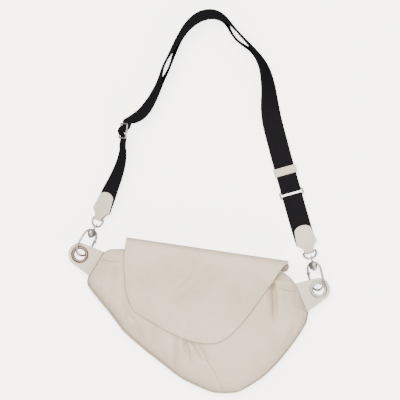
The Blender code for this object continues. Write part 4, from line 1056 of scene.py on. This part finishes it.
def laid(course, tree, sink, steps=160):
    """A course on plan, laid on the surface and sunk a little into it."""
    places = []
    for x, y in edge_reader(course)(np.linspace(0, 1, steps)):
        place, _ = dropped(tree, x, y)
        if place is not None:
            places.append(place - Vector((0, 0, sink)))
    return places


def build_seam():
    """The seam allowance that joins the body to its tabs and its piping, in the dark seam shade
    tone: painted shade along that join.
    """
    course = left_side[-1:] + low_side + right_side[:1]
    lanes = [edge_reader(inset_course(course, reach)) for reach in (2.6 * mm, -2.4 * mm)]
    bm = bmesh.new()
    bmesh.ops.create_grid(bm, x_segments=300, y_segments=1, size=0.5)
    for vert in bm.verts:
        x, y = lanes[vert.co.y > 0](np.array([vert.co.x + 0.5]))[0]
        vert.co = (x, y, seam_z - hair)
    bmesh.ops.recalc_face_normals(bm, faces=bm.faces)
    face_up(bm, (0, 0, 1))
    # Dark seam shade tone: painted shade along the body's join to its tabs and piping.
    seam_shade = piece("seam_allowance", bm, seam_shade_finish, "bag")
    thicken(seam_shade, 0.2 * mm)


def build_stitches(front, outer_tree):
    """Rows of stitches on the flap, the yoke and the side, and dark beads of painted shade along the
    darts' closed seams.
    """
    bend_flap(stitch_row("flap_topstitch", inset_course(flap_rim, hem_reach), outer_tree, None))
    stitch_row("yoke_topstitch", on_plan(ear_course), surface_of(nodes["back_yoke"]), "bag",
               pitch=2.9 * mm, length=2.0 * mm, thread=0.4 * mm)
    front_tree = surface_of(front)
    stitch_row("side_topstitch", on_plan(side_course), front_tree, "bag",
               pitch=3.0 * mm, length=2.1 * mm, thread=0.4 * mm)
    # The darts' seams are drawn as dark beads in the seam shade tone: painted shade in the seams'
    # grooves.
    for name, dart in zip(("left", "right", "low"), darts):
        line = laid(on_plan(dart[0]), front_tree, 0.15 * mm)
        bead(f"dart_{name}_seam", line, 0.45 * mm, seam_shade_finish, "bag")


# Build everything
front = build_front()
build_back()
build_linings()
outer_tree = build_flap(front)
build_flap_lining(front)
build_stitches(front, outer_tree)
build_seam()
strip("shoulder_webbing", "long_webbing", box_middle("dring_left"))
strip("joining_webbing", "short_webbing", box_middle("dring_right"))

for node in ("tab_left_front", "tab_left_back", "tab_right_front", "tab_right_back", "cap_left",
             "cap_right", "keeper"):
    soft_copy(node, trim_finish)
for node in ("back_yoke", "piping"):
    soft_copy(node, hide_finish)
soft_copy("slip_pocket", lining_finish, 0.2 * mm)
for node in ("zip_tape_front", "zip_tape_back"):
    soft_copy(node, tape_finish, 0.2 * mm)
# The left eyelet and washer take the darker copy of the nickel: painted shade.
for node in ("eyelet_left", "washer_left"):
    smooth_copy(node, left_nickel_painted_shade)
for node in nodes:
    if not nodes[node].hide_render:
        smooth_copy(node, metal_finish)

# Floor, light and camera
view_scale = 1.54 * mm
view_turn = math.radians(8.33)
frame_pixels = 400
lens = 300
sensor = 36
view_middle = on_bag(-14.8, 109.5)
distance = frame_pixels * view_scale * lens / sensor

floor_half = 3.0
bm = bmesh.new()
bmesh.ops.create_grid(bm, x_segments=4, y_segments=4, size=floor_half)
bmesh.ops.translate(bm, verts=bm.verts, vec=(0, 0, -hair))
floor = piece("floor", bm, paper_finish, None)
floor.visible_diffuse = floor.visible_glossy = floor.visible_shadow = False

camera_data = bpy.data.cameras.new("camera")
camera_data.lens = lens
camera_data.sensor_width = sensor
camera_data.clip_end = 20
camera = bpy.data.objects.new("camera", camera_data)
bpy.context.scene.collection.objects.link(camera)
camera.location = (*view_middle, distance)
camera.rotation_euler = (0, 0, view_turn)
bpy.context.scene.camera = camera


def soft_box(name, place, size, power):
    """A large warm lamp that faces the bag."""
    data = bpy.data.lights.new(name, "AREA")
    data.color = (1.0, 0.89, 0.74)
    data.shape = "RECTANGLE"
    data.size, data.size_y = size
    data.energy = power
    lamp = bpy.data.objects.new(name, data)
    bpy.context.scene.collection.objects.link(lamp)
    lamp.location = place
    lamp.rotation_euler = (-Vector(place)).to_track_quat("-Z", "Y").to_euler()


soft_box("overhead", (-0.6, 0.6, 2.1), (1.8, 1.8), 130)
soft_box("fill", (1.1, -1.7, 1.0), (1.6, 1.6), 75)
world = bpy.data.worlds.new("studio")
world.use_nodes = True
world.node_tree.nodes["Background"].inputs["Color"].default_value = (0.94, 0.97, 1.0, 1.0)
sky_light, sky_mirrored = 0.75, 0.5
mirrored = add(world.node_tree, "LightPath").outputs["Is Glossy Ray"]
strength = add(world.node_tree, "MapRange", {"Value": mirrored, "To Min": sky_light,
                                             "To Max": sky_mirrored})
world.node_tree.links.new(strength.outputs["Result"],
                          world.node_tree.nodes["Background"].inputs["Strength"])
bpy.context.scene.world = world
